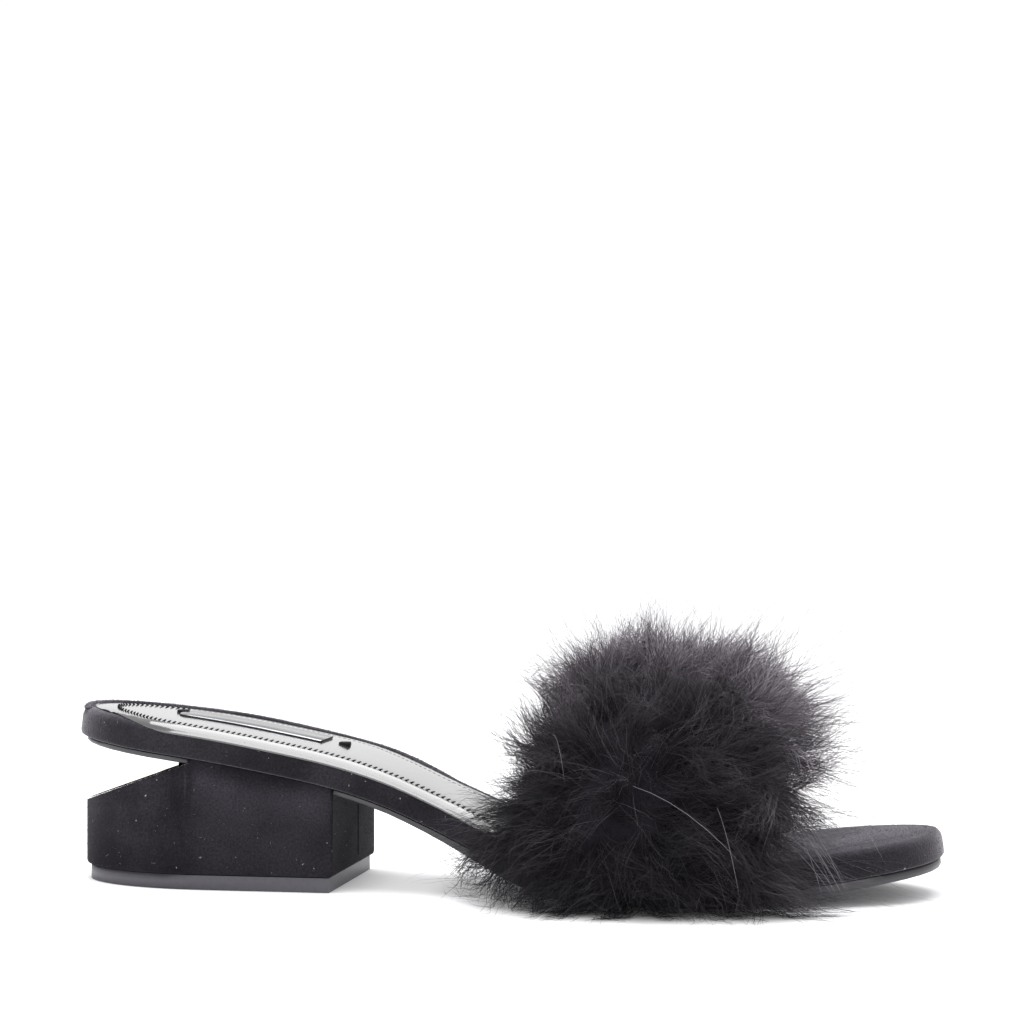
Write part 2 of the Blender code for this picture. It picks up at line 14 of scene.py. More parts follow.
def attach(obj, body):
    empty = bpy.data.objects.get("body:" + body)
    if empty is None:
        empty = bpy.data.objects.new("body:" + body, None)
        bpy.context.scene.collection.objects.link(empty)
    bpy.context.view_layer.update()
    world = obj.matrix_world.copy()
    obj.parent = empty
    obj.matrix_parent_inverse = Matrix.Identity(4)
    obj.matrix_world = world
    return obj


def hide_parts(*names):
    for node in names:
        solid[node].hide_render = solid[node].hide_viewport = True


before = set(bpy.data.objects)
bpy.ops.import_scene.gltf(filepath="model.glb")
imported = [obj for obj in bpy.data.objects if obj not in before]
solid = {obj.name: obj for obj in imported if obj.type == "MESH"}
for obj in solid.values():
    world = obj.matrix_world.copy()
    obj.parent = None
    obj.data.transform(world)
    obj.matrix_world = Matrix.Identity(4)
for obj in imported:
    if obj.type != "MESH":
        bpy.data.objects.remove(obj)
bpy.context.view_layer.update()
bpy.ops.object.select_all(action="DESELECT")


# Studio: a white light table in an evenly lit white room, as for a catalogue picture.
# The camera stands level at the outer side of the shoe, turned a little towards its heel.
# The table glows from below, so the shoe leaves only a faint shadow on it.
FLOOR_REACH = 8.0
FLOOR_MIDDLE = (0.1, 0.0, 0.0)
CAMERA_PLACE = (0.2216, -0.7654, 0.1090)
CAMERA_TURN = radians(9.9)
CAMERA_LENS = 93.4
CAMERA_FILM = 36
ROOM_LIGHT = 1.07
TABLE_COLOUR = (0.585, 0.580, 0.590, 1)
GLOW_COLOUR = (0.985, 0.990, 1.000, 1)
TABLE_GLOW = 0.56
# Reach and opening of the painted contact shadow on the table
PAINTED_SHADOW_REACH = 0.018
PAINTED_SHADOW_OPEN = 0.92
LAMP_PLACE = (0.10, -0.10, 1.20)
LAMP_SIZE = 1.3
LAMP_POWER = 22.0

bpy.ops.mesh.primitive_plane_add(size=FLOOR_REACH, location=FLOOR_MIDDLE)
floor = bpy.context.object
floor.name = "studio_floor"
floor_white = bpy.data.materials.new("floor_white")
floor_white.use_nodes = True
floor_shader = floor_white.node_tree.nodes["Principled BSDF"]
floor_shader.inputs["Base Color"].default_value = TABLE_COLOUR
floor_shader.inputs["Roughness"].default_value = 0.85
floor_shader.inputs["Specular IOR Level"].default_value = 0.1
floor_shader.inputs["Emission Color"].default_value = GLOW_COLOUR
# Painted contact shadow: an occlusion test dims the table's glow where the shoe all but touches it
painted_contact_shadow = floor_white.node_tree.nodes.new("ShaderNodeAmbientOcclusion")
painted_contact_shadow.inputs["Distance"].default_value = PAINTED_SHADOW_REACH
glow_under_painted_shadow = floor_white.node_tree.nodes.new("ShaderNodeMapRange")
glow_under_painted_shadow.inputs["From Max"].default_value = PAINTED_SHADOW_OPEN
glow_under_painted_shadow.inputs["To Max"].default_value = TABLE_GLOW
floor_white.node_tree.links.new(painted_contact_shadow.outputs["AO"], glow_under_painted_shadow.inputs["Value"])
floor_white.node_tree.links.new(glow_under_painted_shadow.outputs["Result"], floor_shader.inputs["Emission Strength"])
floor.data.materials.append(floor_white)

room = bpy.data.worlds.new("white_room")
room.use_nodes = True
room.node_tree.nodes["Background"].inputs["Color"].default_value = (1.0, 1.0, 1.0, 1)
room.node_tree.nodes["Background"].inputs["Strength"].default_value = ROOM_LIGHT
bpy.context.scene.world = room

bpy.ops.object.light_add(type="AREA", location=LAMP_PLACE)
lamp = bpy.context.object
lamp.name = "overhead_lamp"
lamp.data.shape = "DISK"
lamp.data.size = LAMP_SIZE
lamp.data.energy = LAMP_POWER

bpy.ops.object.camera_add(location=CAMERA_PLACE, rotation=(pi / 2, 0, CAMERA_TURN))
camera = bpy.context.object
camera.data.lens = CAMERA_LENS
camera.data.sensor_width = CAMERA_FILM
bpy.context.scene.camera = camera
bpy.context.scene.view_settings.view_transform = "Standard"


# Top piece: the lift of dense rubber under the heel, ground flush and a little paler than the rest.
# Its side is smooth with fine grinding marks. It is glued on, so no fixing shows.
WELD_DISTANCE = 0.00001
SMOOTH_TURN = 38


def finish_node(tree, kind, place, **values):
    """Adds one shader node at a place in its tree and sets its sockets by name."""
    step = tree.nodes.new(kind)
    step.location = place
    for name, value in values.items():
        step.inputs[name.replace("_", " ")].default_value = value
    return step


def new_finish(name, colour, roughness, metallic=0.0):
    """A material with a Principled shader, and its node tree to add detail to."""
    look = bpy.data.materials.new(name)
    look.use_nodes = True
    shader = look.node_tree.nodes["Principled BSDF"]
    shader.inputs["Base Color"].default_value = (*colour, 1)
    shader.inputs["Roughness"].default_value = roughness
    shader.inputs["Metallic"].default_value = metallic
    return look, look.node_tree, shader


def object_texture(tree, kind, **values):
    """A texture laid in the piece's own space."""
    place = finish_node(tree, "ShaderNodeTexCoord", (-1100, 0))
    texture = finish_node(tree, kind, (-800, -200), **values)
    tree.links.new(place.outputs["Object"], texture.inputs["Vector"])
    return texture


def two_tone(tree, factor, low, high, place=(-400, 200)):
    """Colour that runs from low to high with a factor."""
    ramp = tree.nodes.new("ShaderNodeValToRGB")
    ramp.location = place
    ramp.color_ramp.elements[0].color = (*low, 1)
    ramp.color_ramp.elements[1].color = (*high, 1)
    tree.links.new(factor, ramp.inputs["Fac"])
    return ramp


def mapped(tree, value, span, result, place=(-500, -200)):
    """A value's span stretched on to another."""
    stretch = finish_node(
        tree, "ShaderNodeMapRange", place,
        From_Min=span[0], From_Max=span[1], To_Min=result[0], To_Max=result[1],
    )
    tree.links.new(value, stretch.inputs["Value"])
    return stretch.outputs["Result"]


def bumped(tree, shader, height, strength, distance):
    """Fine relief from a texture, on top of the shape."""
    bump = finish_node(tree, "ShaderNodeBump", (-200, -300), Strength=strength, Distance=distance)
    tree.links.new(height, bump.inputs["Height"])
    tree.links.new(bump.outputs["Normal"], shader.inputs["Normal"])
    return bump


def dress(part, look):
    """Gives a piece one material in place of any it had."""
    part.data.materials.clear()
    part.data.materials.append(look)


def softened(name, look):
    """A CAD piece's own form with its facets welded and shaded smooth, standing for the piece."""
    piece = bpy.data.objects.new(name + "_made", solid[name].data.copy())
    bpy.context.scene.collection.objects.link(piece)
    form = bmesh.new()
    form.from_mesh(piece.data)
    bmesh.ops.remove_doubles(form, verts=form.verts, dist=WELD_DISTANCE)
    form.to_mesh(piece.data)
    form.free()
    bpy.ops.object.select_all(action="DESELECT")
    piece.select_set(True)
    bpy.context.view_layer.objects.active = piece
    bpy.ops.object.shade_smooth_by_angle(angle=radians(SMOOTH_TURN))
    piece.select_set(False)
    dress(piece, look)
    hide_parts(name)
    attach(piece, "root")
    return piece


rubber, tree, shader = new_finish("lift_rubber", (0.080, 0.076, 0.088), 0.42)
grain = object_texture(tree, "ShaderNodeTexNoise", Scale=900.0, Detail=4.0)
tone = two_tone(tree, grain.outputs["Fac"], (0.056, 0.053, 0.064), (0.084, 0.080, 0.094))
tree.links.new(tone.outputs["Color"], shader.inputs["Base Color"])
bumped(tree, shader, grain.outputs["Fac"], 0.25, 0.0001)
softened("top_piece", rubber)


# Heel block and footbed cover: black goat suede, cemented round the core and the inner board.
# The nap is short, a little streaky, and holds specks of pale lint.
# Painted light on the suede's upward faces: how much paler, and over which tilt
SUEDE_TOP_LIGHT = 2.7
SUEDE_TOP_LIGHT_FACING = (0.30, 0.95)
SUEDE_NAP = 1600.0
NAP_SPAN = (0.35, 0.65)
NAP_TONES = (0.70, 1.35)
SUEDE_CLOUD = 45.0
LINT_CELLS = 290.0
LINT_PUSH = (0.0016, 0.0016, 0.0016)
LINT_SIZE = 0.070
LINT_CHANCE = 0.50
LINT_COLOUR = (0.20, 0.19, 0.20, 1)
SHEEN_TINT = (0.75, 0.72, 0.78, 1)


def worked(tree, operation, value, other):
    """A sum done on a value with a number or with another value."""
    step = tree.nodes.new("ShaderNodeMath")
    step.operation = operation
    tree.links.new(value, step.inputs[0])
    if isinstance(other, float):
        step.inputs[1].default_value = other
    else:
        tree.links.new(other, step.inputs[1])
    return step.outputs[0]


def suede_finish(name, dark, light, sheen):
    """Suede in two near tones, with painted light where it faces up, a nap grain, and here and there a speck
    of lint.
    """
    look, tree, shader = new_finish(name, light, 0.95)
    shader.inputs["Specular IOR Level"].default_value = 0.12
    shader.inputs["Sheen Weight"].default_value = sheen
    shader.inputs["Sheen Roughness"].default_value = 0.40
    shader.inputs["Sheen Tint"].default_value = SHEEN_TINT
    place = finish_node(tree, "ShaderNodeTexCoord", (-1500, 0))
    nap = finish_node(tree, "ShaderNodeTexNoise", (-1100, -250), Scale=SUEDE_NAP, Detail=5.0)
    cloud = finish_node(tree, "ShaderNodeTexNoise", (-1100, 150), Scale=SUEDE_CLOUD, Detail=6.0)
    lint = finish_node(tree, "ShaderNodeTexVoronoi", (-1100, 450), Scale=LINT_CELLS, Randomness=1.0)
    for texture in (nap, cloud):
        tree.links.new(place.outputs["Object"], texture.inputs["Vector"])
    # Lint lies in crooked bits, so its pattern is pushed about by a noise
    crooked = finish_node(tree, "ShaderNodeTexNoise", (-1500, 450), Scale=900.0, Detail=2.0)
    tree.links.new(place.outputs["Object"], crooked.inputs["Vector"])
    push = tree.nodes.new("ShaderNodeVectorMath")
    push.operation = "MULTIPLY_ADD"
    push.inputs[1].default_value = LINT_PUSH
    tree.links.new(crooked.outputs["Color"], push.inputs[0])
    tree.links.new(place.outputs["Object"], push.inputs[2])
    tree.links.new(push.outputs["Vector"], lint.inputs["Vector"])
    tone = two_tone(tree, cloud.outputs["Fac"], dark, light, (-850, 150))
    tone.color_ramp.elements[0].position = 0.38
    tone.color_ramp.elements[1].position = 0.64
    # One cell in a few holds a speck, at its own point
    near = worked(tree, "LESS_THAN", lint.outputs["Distance"], LINT_SIZE)
    chosen = tree.nodes.new("ShaderNodeSeparateColor")
    tree.links.new(lint.outputs["Color"], chosen.inputs["Color"])
    rare = worked(tree, "GREATER_THAN", chosen.outputs["Red"], LINT_CHANCE)
    speck = worked(tree, "MULTIPLY", near, rare)
    mix = tree.nodes.new("ShaderNodeMix")
    mix.data_type = "RGBA"
    mix.inputs["B"].default_value = LINT_COLOUR
    tree.links.new(speck, mix.inputs["Factor"])
    tree.links.new(tone.outputs["Color"], mix.inputs["A"])
    # Painted light: suede that faces up is made paler than on the walls, and the nap grain speckles it
    facing = tree.nodes.new("ShaderNodeNewGeometry")
    level = tree.nodes.new("ShaderNodeSeparateXYZ")
    tree.links.new(facing.outputs["Normal"], level.inputs["Vector"])
    painted_top_light = mapped(tree, level.outputs["Z"], SUEDE_TOP_LIGHT_FACING, (1.0, SUEDE_TOP_LIGHT), (-600, 500))
    speckle = mapped(tree, nap.outputs["Fac"], NAP_SPAN, NAP_TONES, (-600, -250))
    top_light_and_nap = worked(tree, "MULTIPLY", painted_top_light, speckle)
    lit = tree.nodes.new("ShaderNodeVectorMath")
    lit.operation = "SCALE"
    tree.links.new(mix.outputs["Result"], lit.inputs[0])
    tree.links.new(top_light_and_nap, lit.inputs["Scale"])
    tree.links.new(lit.outputs["Vector"], shader.inputs["Base Color"])
    bumped(tree, shader, nap.outputs["Fac"], 0.55, 0.00025)
    return look


block_suede = suede_finish("block_suede", (0.0085, 0.0072, 0.0098), (0.018, 0.016, 0.0205), 0.05)
block = softened("heel_block", block_suede)


# Heel cover seam: the suede's two ends meet in one upright line on the heel's front wall.
# It is a thin raised ridge of the suede itself, glued down, with no stitches to be seen.
SEAM_PLACE = (0.0407, 0.0050, 0.0195)
SEAM_HALF = (0.00022, 0.00030, 0.0125)
SEAM_ROUND = 0.00018

bpy.ops.mesh.primitive_cube_add(size=2, location=SEAM_PLACE)
seam = bpy.context.object
seam.name = "heel_cover_seam"
seam.scale = SEAM_HALF
bpy.ops.object.transform_apply(location=True, rotation=True, scale=True)
rounding = seam.modifiers.new("rounding", "BEVEL")
rounding.width = SEAM_ROUND
rounding.segments = 3
bpy.ops.object.modifier_apply(modifier="rounding")
bpy.ops.object.shade_smooth()
seam.select_set(False)
dress(seam, block_suede)
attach(seam, "root")


# Heel plate: a thin plate of pale polished metal on the slant where the heel's back is cut away.
# It is let into the block and glued, and it mirrors the sole above it.
PLATE_HAZE = (0.05, 0.16)

metal, tree, shader = new_finish("polished_plate", (0.90, 0.87, 0.80), 0.08, 1.0)
haze = object_texture(tree, "ShaderNodeTexNoise", Scale=60.0, Detail=3.0)
tree.links.new(mapped(tree, haze.outputs["Fac"], (0.0, 1.0), PLATE_HAZE), shader.inputs["Roughness"])
softened("heel_plate", metal)


# Outsole: a thin sole of black leather, cemented under the footbed from the heel to the toe.
# Its edge is painted and burnished to a low gloss.
edge_black, tree, shader = new_finish("sole_edge", (0.024, 0.022, 0.027), 0.42)
shader.inputs["Coat Weight"].default_value = 0.10
shader.inputs["Coat Roughness"].default_value = 0.30
wear = object_texture(tree, "ShaderNodeTexNoise", Scale=240.0, Detail=5.0)
tone = two_tone(tree, wear.outputs["Fac"], (0.018, 0.016, 0.021), (0.036, 0.034, 0.040))
tree.links.new(tone.outputs["Color"], shader.inputs["Base Color"])
bumped(tree, shader, wear.outputs["Fac"], 0.15, 0.0002)
softened("outsole", edge_black)


# Footbed: an inner board and cushion wrapped in the same suede, its rim rounded over.
# The heel block is screwed to it from inside and the outsole is cemented under it.
footbed_suede = suede_finish("footbed_suede", (0.0085, 0.0075, 0.0095), (0.019, 0.017, 0.0215), 0.50)
footbed = softened("footbed", footbed_suede)


# Insole: a sock of glossy black leather over thin foam, let into the footbed and crowned.
# It is sewn down near its edge, which rolls under, so it meets the suede in a shallow groove.
INSOLE_EDGE_DROP = -0.00015
INSOLE_CROWN = 0.0006
INSOLE_ROLL = 0.0042
CAD_PROUD = 0.0003
CREASE_TURN = 0.7
LEATHER_TURN = 50
OUTLINE_SPLIT = 3
RIM_PITCH = 0.002
WRAP_START = 0.030
WRAP_LEAST = 0.12
WRAP_DEPTH = 0.00055
WRAP_SKIN = 0.00030
WRAP_SWELL = 0.00075
WRAP_TUCK = 0.0004
WRAP_POINTS = 6
WRAP_RAYS = (0.08, 0.98, 14)
RAY_START = 0.02
ACROSS = (0.0, 0.004, 0.012, 0.03, 0.06, 0.10, 0.15, 0.21, 0.28, 0.36, 0.43, 0.5)


def lower_outline(name):
    """Outer and inner edge points of a flat-lying piece, in pairs from heel to front."""
    form = bmesh.new()
    form.from_mesh(solid[name].data)
    bmesh.ops.remove_doubles(form, verts=form.verts, dist=WELD_DISTANCE)
    beside = {}
    for edge in form.edges:
        lowest = min(face.normal.z for face in edge.link_faces)
        if edge.calc_face_angle(0) > CREASE_TURN and lowest < -CREASE_TURN:
            a, b = edge.verts
            beside.setdefault(a, []).append(b)
            beside.setdefault(b, []).append(a)
    here = min(beside, key=lambda v: v.co.x)
    loop, before = [here], None
    while True:
        ahead = [v for v in beside[here] if v is not before]
        step = min(ahead, key=lambda v: v.co.y) if before is None else ahead[0]
        if step is loop[0]:
            break
        loop.append(step)
        before, here = here, step
    loop = [v.co.copy() for v in loop]
    form.free()
    pairs = (len(loop) + 1) // 2
    return loop[:pairs], ([loop[0]] + loop[::-1])[:pairs]


def edge_distance(points, rim):
    """Distance in plan from each point to the nearest part of an open line of points."""
    a, b = rim[:-1, :2], rim[1:, :2]
    run = b - a
    best = np.full(len(points), 1.0)
    for start, way in zip(a, run):
        t = np.clip(((points[:, :2] - start) @ way) / max(way @ way, 1e-12), 0, 1)
        best = np.minimum(best, np.linalg.norm(points[:, :2] - start - t[:, None] * way, axis=1))
    return best


outer_edge, inner_edge = lower_outline("insole")
finer = np.arange(0, len(outer_edge) - 0.99, 1 / OUTLINE_SPLIT)
outer_edge, inner_edge = (
    np.stack([np.interp(finer, np.arange(len(edge)), np.array(edge)[:, k]) for k in range(3)], 1)
    for edge in (outer_edge, inner_edge)
)


def evenly(line, pitch):
    """The same line with points at an even pitch."""
    travel = np.concatenate([[0], np.cumsum(np.linalg.norm(np.diff(line, axis=0), axis=1))])
    places = np.linspace(0, travel[-1], int(travel[-1] / pitch) + 1)
    return np.stack([np.interp(places, travel, line[:, k]) for k in range(3)], 1)


def inset_line(line, inset):
    """A plan line moved square to itself, to its left."""
    along = np.gradient(line[:, :2], axis=0)
    along /= np.linalg.norm(along, axis=1, keepdims=True)
    moved = line.copy()
    moved[:, 0] -= along[:, 1] * inset
    moved[:, 1] += along[:, 0] * inset
    return moved


rim_ground = BVHTree.FromPolygons(
    [v.co for v in footbed.data.vertices], [tuple(face.vertices) for face in footbed.data.polygons]
)


def rim_wrap(foot, out, share):
    """The leather's line over the footbed's rounded rim, from its cut edge inwards to the flat."""
    wall = rim_ground.ray_cast(foot + out * RAY_START - Vector((0, 0, WRAP_DEPTH)), -out)[0]
    reach = (wall - foot).dot(out)
    line = [foot + Vector((0, 0, WRAP_SKIN + WRAP_SWELL))]
    for part in np.linspace(*WRAP_RAYS):
        above = foot + out * reach * part + Vector((0, 0, RAY_START))
        skin = WRAP_SKIN + WRAP_SWELL * max(0, 1 - part / share)
        line.append(rim_ground.ray_cast(above, Vector((0, 0, -1)))[0] + Vector((0, 0, skin)))
    line.append(wall + out * WRAP_SKIN)
    line = np.array([list(point) for point in line])
    travel = np.concatenate([[0], np.cumsum(np.linalg.norm(np.diff(line, axis=0), axis=1))])
    places = np.linspace(1, 0, WRAP_POINTS, endpoint=False) * share * travel[-1]
    return np.stack([np.interp(places, travel, line[:, k]) for k in range(3)], 1)


lap = np.clip((outer_edge[:, 0] - outer_edge[0, 0]) / WRAP_START, WRAP_LEAST, 1)
lap = lap * lap * (3 - 2 * lap)
outward_line = inset_line(outer_edge, -1.0) - outer_edge
wraps = np.array([
    rim_wrap(Vector(foot), Vector((out[0], out[1], 0)).normalized(), full)
    for foot, out, full in zip(outer_edge, outward_line, lap)
])
lapped_edge = wraps[:, 0].copy()
lapped_edge[:, 2] = outer_edge[:, 2]
insole_rim = evenly(np.concatenate([inner_edge[::-1], outer_edge[1:]]), RIM_PITCH)
leather_rim = evenly(np.concatenate([inner_edge[::-1], lapped_edge[1:]]), RIM_PITCH)
insole_high = max(v.co.z for v in solid["insole"].data.vertices) - outer_edge[0][2]


def crown_height(points):
    """How far the insole's top stands above its lower outline at each point."""
    roll = 1 - np.exp(-edge_distance(points, insole_rim) / INSOLE_ROLL)
    return insole_high - CAD_PROUD - INSOLE_EDGE_DROP + INSOLE_CROWN * roll


shares = np.array(ACROSS + tuple(1 - t for t in ACROSS[-2::-1]))
insole_rows = outer_edge[1:, None] + (inner_edge - outer_edge)[1:, None] * shares[None, :, None]
insole_tops = insole_rows.copy()
insole_tops[..., 2] += crown_height(insole_rows.reshape(-1, 3)).reshape(insole_rows.shape[:2])
under = wraps[1:] - outward_line[1:, None] * WRAP_TUCK - np.array([0, 0, WRAP_SKIN + WRAP_SWELL])
insole_tops = np.concatenate([wraps[1:], insole_tops], 1)
insole_rows = np.concatenate([under, insole_rows], 1)
form = bmesh.new()
layers = []
for grid in (insole_rows, insole_tops):
    layers.append([[form.verts.new(p) for p in row] for row in grid])
tip = [form.verts.new(outer_edge[0])]
tip.append(form.verts.new(outer_edge[0] + np.array([0, 0, insole_high - CAD_PROUD - INSOLE_EDGE_DROP])))
wide = insole_tops.shape[1]
for k, rows in enumerate(layers):
    for row, ahead in zip(rows, rows[1:]):
        for i in range(wide - 1):
            form.faces.new((row[i], row[i + 1], ahead[i + 1], ahead[i]))
    for i in range(wide - 1):
        form.faces.new((tip[k], rows[0][i + 1], rows[0][i]))
low, top = layers
for i in range(wide - 1):
    form.faces.new((low[-1][i], low[-1][i + 1], top[-1][i + 1], top[-1][i]))
for side in (0, -1):
    form.faces.new((tip[0], low[0][side], top[0][side], tip[1]))
    for j in range(len(low) - 1):
        form.faces.new((low[j][side], low[j + 1][side], top[j + 1][side], top[j][side]))
bmesh.ops.recalc_face_normals(form, faces=form.faces)
insole_mesh = bpy.data.meshes.new("insole_sock")
form.to_mesh(insole_mesh)
form.free()
insole = bpy.data.objects.new("insole_sock", insole_mesh)
bpy.context.scene.collection.objects.link(insole)
bpy.context.view_layer.objects.active = insole
insole.select_set(True)
bpy.ops.object.shade_smooth_by_angle(angle=radians(LEATHER_TURN))
insole.select_set(False)
leather, tree, shader = new_finish("insole_leather", (0.030, 0.030, 0.032), 0.20)
shader.inputs["Coat Weight"].default_value = 1.0
shader.inputs["Coat Roughness"].default_value = 0.10
shader.inputs["Coat IOR"].default_value = 1.7
grain = object_texture(tree, "ShaderNodeTexVoronoi", Scale=900.0)
bumped(tree, shader, grain.outputs["Distance"], 0.06, 0.0001)
dress(insole, leather)
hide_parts("insole")
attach(insole, "root")


# Insole stitches: one row of thick black thread, sewn through the leather and the foam under it.
# Each stitch lies a little on a slant, and on the inner side the row lies flat.
STITCH_INSET = 0.0066
STITCH_PITCH = 0.00165
STITCH_LENGTH = 0.0018
STITCH_RADIUS = 0.00027
STITCH_SLANT = radians(31)
STITCH_END = 0.112
STITCH_MIDDLE = 0.004
STITCH_FLAT = -0.014
STITCH_RISE = 0.10
STITCH_SINK = 0.7

insole_top = BVHTree.FromPolygons(
    [v.co for v in insole_mesh.vertices], [tuple(face.vertices) for face in insole_mesh.polygons]
)


def on_insole(x, y):
    """The point of the insole's top at a place in plan."""
    return insole_top.ray_cast(Vector((x, y, 0.2)), Vector((0, 0, -1)))[0]


stitch_line = inset_line(leather_rim, STITCH_INSET)
stitch_line = stitch_line[stitch_line[:, 0] < STITCH_END]
stitch_line = evenly(stitch_line, STITCH_PITCH)
middles = [on_insole(point[0], point[1]) for point in stitch_line]
form = bmesh.new()
for middle, forward in zip(middles, middles[1:]):
    way = (forward - middle).normalized()
    slant, rise = (STITCH_SLANT, STITCH_LENGTH * STITCH_RISE)
    if middle.y > STITCH_MIDDLE and middle.x > STITCH_FLAT:
        slant, rise = (0.0, -STITCH_RADIUS * STITCH_SINK)
    turned = way * cos(slant) + Vector((0, 0, sin(slant)))
    turn = turned.to_track_quat("Z", "Y").to_matrix().to_4x4()
    size = Matrix.Diagonal((STITCH_RADIUS, STITCH_RADIUS, STITCH_LENGTH / 2, 1))
    lift = Vector((0, 0, rise))
    bmesh.ops.create_icosphere(
        form, subdivisions=2, radius=1.0, matrix=Matrix.Translation(middle + lift) @ turn @ size
    )
stitch_mesh = bpy.data.meshes.new("insole_stitches")
form.to_mesh(stitch_mesh)
form.free()
stitch_mesh.shade_smooth()
stitches = bpy.data.objects.new("insole_stitches", stitch_mesh)
bpy.context.scene.collection.objects.link(stitches)
thread, tree, shader = new_finish("stitch_thread", (0.020, 0.019, 0.022), 0.7)
twist = object_texture(tree, "ShaderNodeTexNoise", Scale=3500.0, Detail=2.0)
bumped(tree, shader, twist.outputs["Fac"], 0.6, 0.0002)
dress(stitches, thread)
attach(stitches, "root")


# Rim roll: the suede edge of the footbed, which stands up round the back and the inner side of the
# insole. On the outer side the insole laps over it.
ROLL_OUT = 0.0020
ROLL_HALF = 0.0016
ROLL_HIGH = 0.0011
ROLL_LEVEL = (0.010, 0.060)
ROLL_SINK = 0.0002
ROLL_SIDES = 10
ROLL_FADE = 0.0035
ROLL_LOSS = 0.65
ROLL_LEAST = 0.02

roll_line = inset_line(insole_rim, -ROLL_OUT)
heel_tip = int(np.argmin(roll_line[:, 0]))
past = np.where(np.arange(len(roll_line)) > heel_tip, roll_line[:, 0] - roll_line[heel_tip, 0], 0.0)
swell = np.clip(1 - past / ROLL_FADE, 0, 1)
level = np.clip((roll_line[:, 0] - ROLL_LEVEL[0]) / (ROLL_LEVEL[1] - ROLL_LEVEL[0]), 0, 1)
swell *= 1 - ROLL_LOSS * level
roll_line, swell = roll_line[swell > ROLL_LEAST], swell[swell > ROLL_LEAST]
roll_line[:, 2] += insole_high - CAD_PROUD - ROLL_SINK
along = np.gradient(roll_line[:, :2], axis=0)
along /= np.linalg.norm(along, axis=1, keepdims=True)
form = bmesh.new()
rings = []
for point, way, full in zip(roll_line, along, swell):
    ring = []
    for k in range(ROLL_SIDES):
        angle = 2 * pi * k / ROLL_SIDES
        out, rise = cos(angle) * ROLL_HALF, sin(angle) * ROLL_HIGH * full
        ring.append(form.verts.new((point[0] - way[1] * out, point[1] + way[0] * out, point[2] + rise)))
    rings.append(ring)
for ring, after in zip(rings, rings[1:]):
    for k in range(ROLL_SIDES):
        n = (k + 1) % ROLL_SIDES
        form.faces.new((ring[k], ring[n], after[n], after[k]))
form.faces.new(rings[0])
form.faces.new(rings[-1])
bmesh.ops.recalc_face_normals(form, faces=form.faces)
roll_mesh = bpy.data.meshes.new("rim_roll")
form.to_mesh(roll_mesh)
form.free()
roll_mesh.shade_smooth()
rim_roll = bpy.data.objects.new("rim_roll", roll_mesh)
bpy.context.scene.collection.objects.link(rim_roll)
dress(rim_roll, footbed_suede)
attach(rim_roll, "root")


# Suede nap: short fibres that stand up from the suede and blur its edges against the light.
# Pale bits of lint lie caught in it, as on any black suede.
NAP_SEED = 5
NAP_LENGTH = (0.00025, 0.00075)
NAP_RADIUS = 0.000045
NAP_SCATTER = 0.55
NAP_LEAN = 0.08
NAP_FOOT = 0.00005
NAP_UNDERSIDE = -0.5
NAP_COUNTS = (("nap_footbed", "footbed", 17000), ("nap_rim", "rim", 4000), ("nap_heel", "heel", 7000))
LINT_LENGTH = (0.0003, 0.0011)
LINT_RADIUS = 0.00007
LINT_COUNTS = (("lint_footbed", "footbed", 420), ("lint_heel", "heel", 190))
HIDDEN_BY_FUR = (0.108, 0.160)

nap_dice = np.random.default_rng(NAP_SEED)


def unit(vectors):
    """The same vectors at length one."""
    return vectors / np.maximum(np.linalg.norm(vectors, axis=-1, keepdims=True), 1e-9)


def triangles_of(piece):
    """Corners, unit normals and areas of a piece's triangles."""
    mesh = piece.data
    mesh.calc_loop_triangles()
    points = np.zeros(len(mesh.vertices) * 3, np.float32)
    mesh.vertices.foreach_get("co", points)
    corners = np.zeros(len(mesh.loop_triangles) * 3, np.int32)
    mesh.loop_triangles.foreach_get("vertices", corners)
    faces = points.reshape(-1, 3).astype(float)[corners.reshape(-1, 3)]
    normal = np.cross(faces[:, 1] - faces[:, 0], faces[:, 2] - faces[:, 0])
    area = np.linalg.norm(normal, axis=1) + 1e-15
    return faces, normal / area[:, None], area


def scattered(faces, areas, count, chance):
    """Random points on triangles, and the triangle of each."""
    pick = chance.choice(len(areas), count, p=areas / areas.sum())
    u, v = chance.random((2, count, 1))
    over = (u + v) > 1
    u, v = np.where(over, 1 - u, u), np.where(over, 1 - v, v)
    a, b, c = faces[pick].transpose(1, 0, 2)
    return a + (b - a) * u + (c - a) * v, pick


def quick_mesh(name, points, corners, sides):
    """A mesh from flat arrays: points, and faces that all have the same number of corners."""
    mesh = bpy.data.meshes.new(name)
    mesh.vertices.add(len(points))
    mesh.vertices.foreach_set("co", points.reshape(-1).astype(np.float32))
    mesh.loops.add(len(corners))
    mesh.loops.foreach_set("vertex_index", corners.astype(np.int32))
    mesh.polygons.add(len(corners) // sides)
    mesh.polygons.foreach_set("loop_start", np.arange(0, len(corners), sides, dtype=np.int32))
    mesh.update(calc_edges=True)
    return mesh


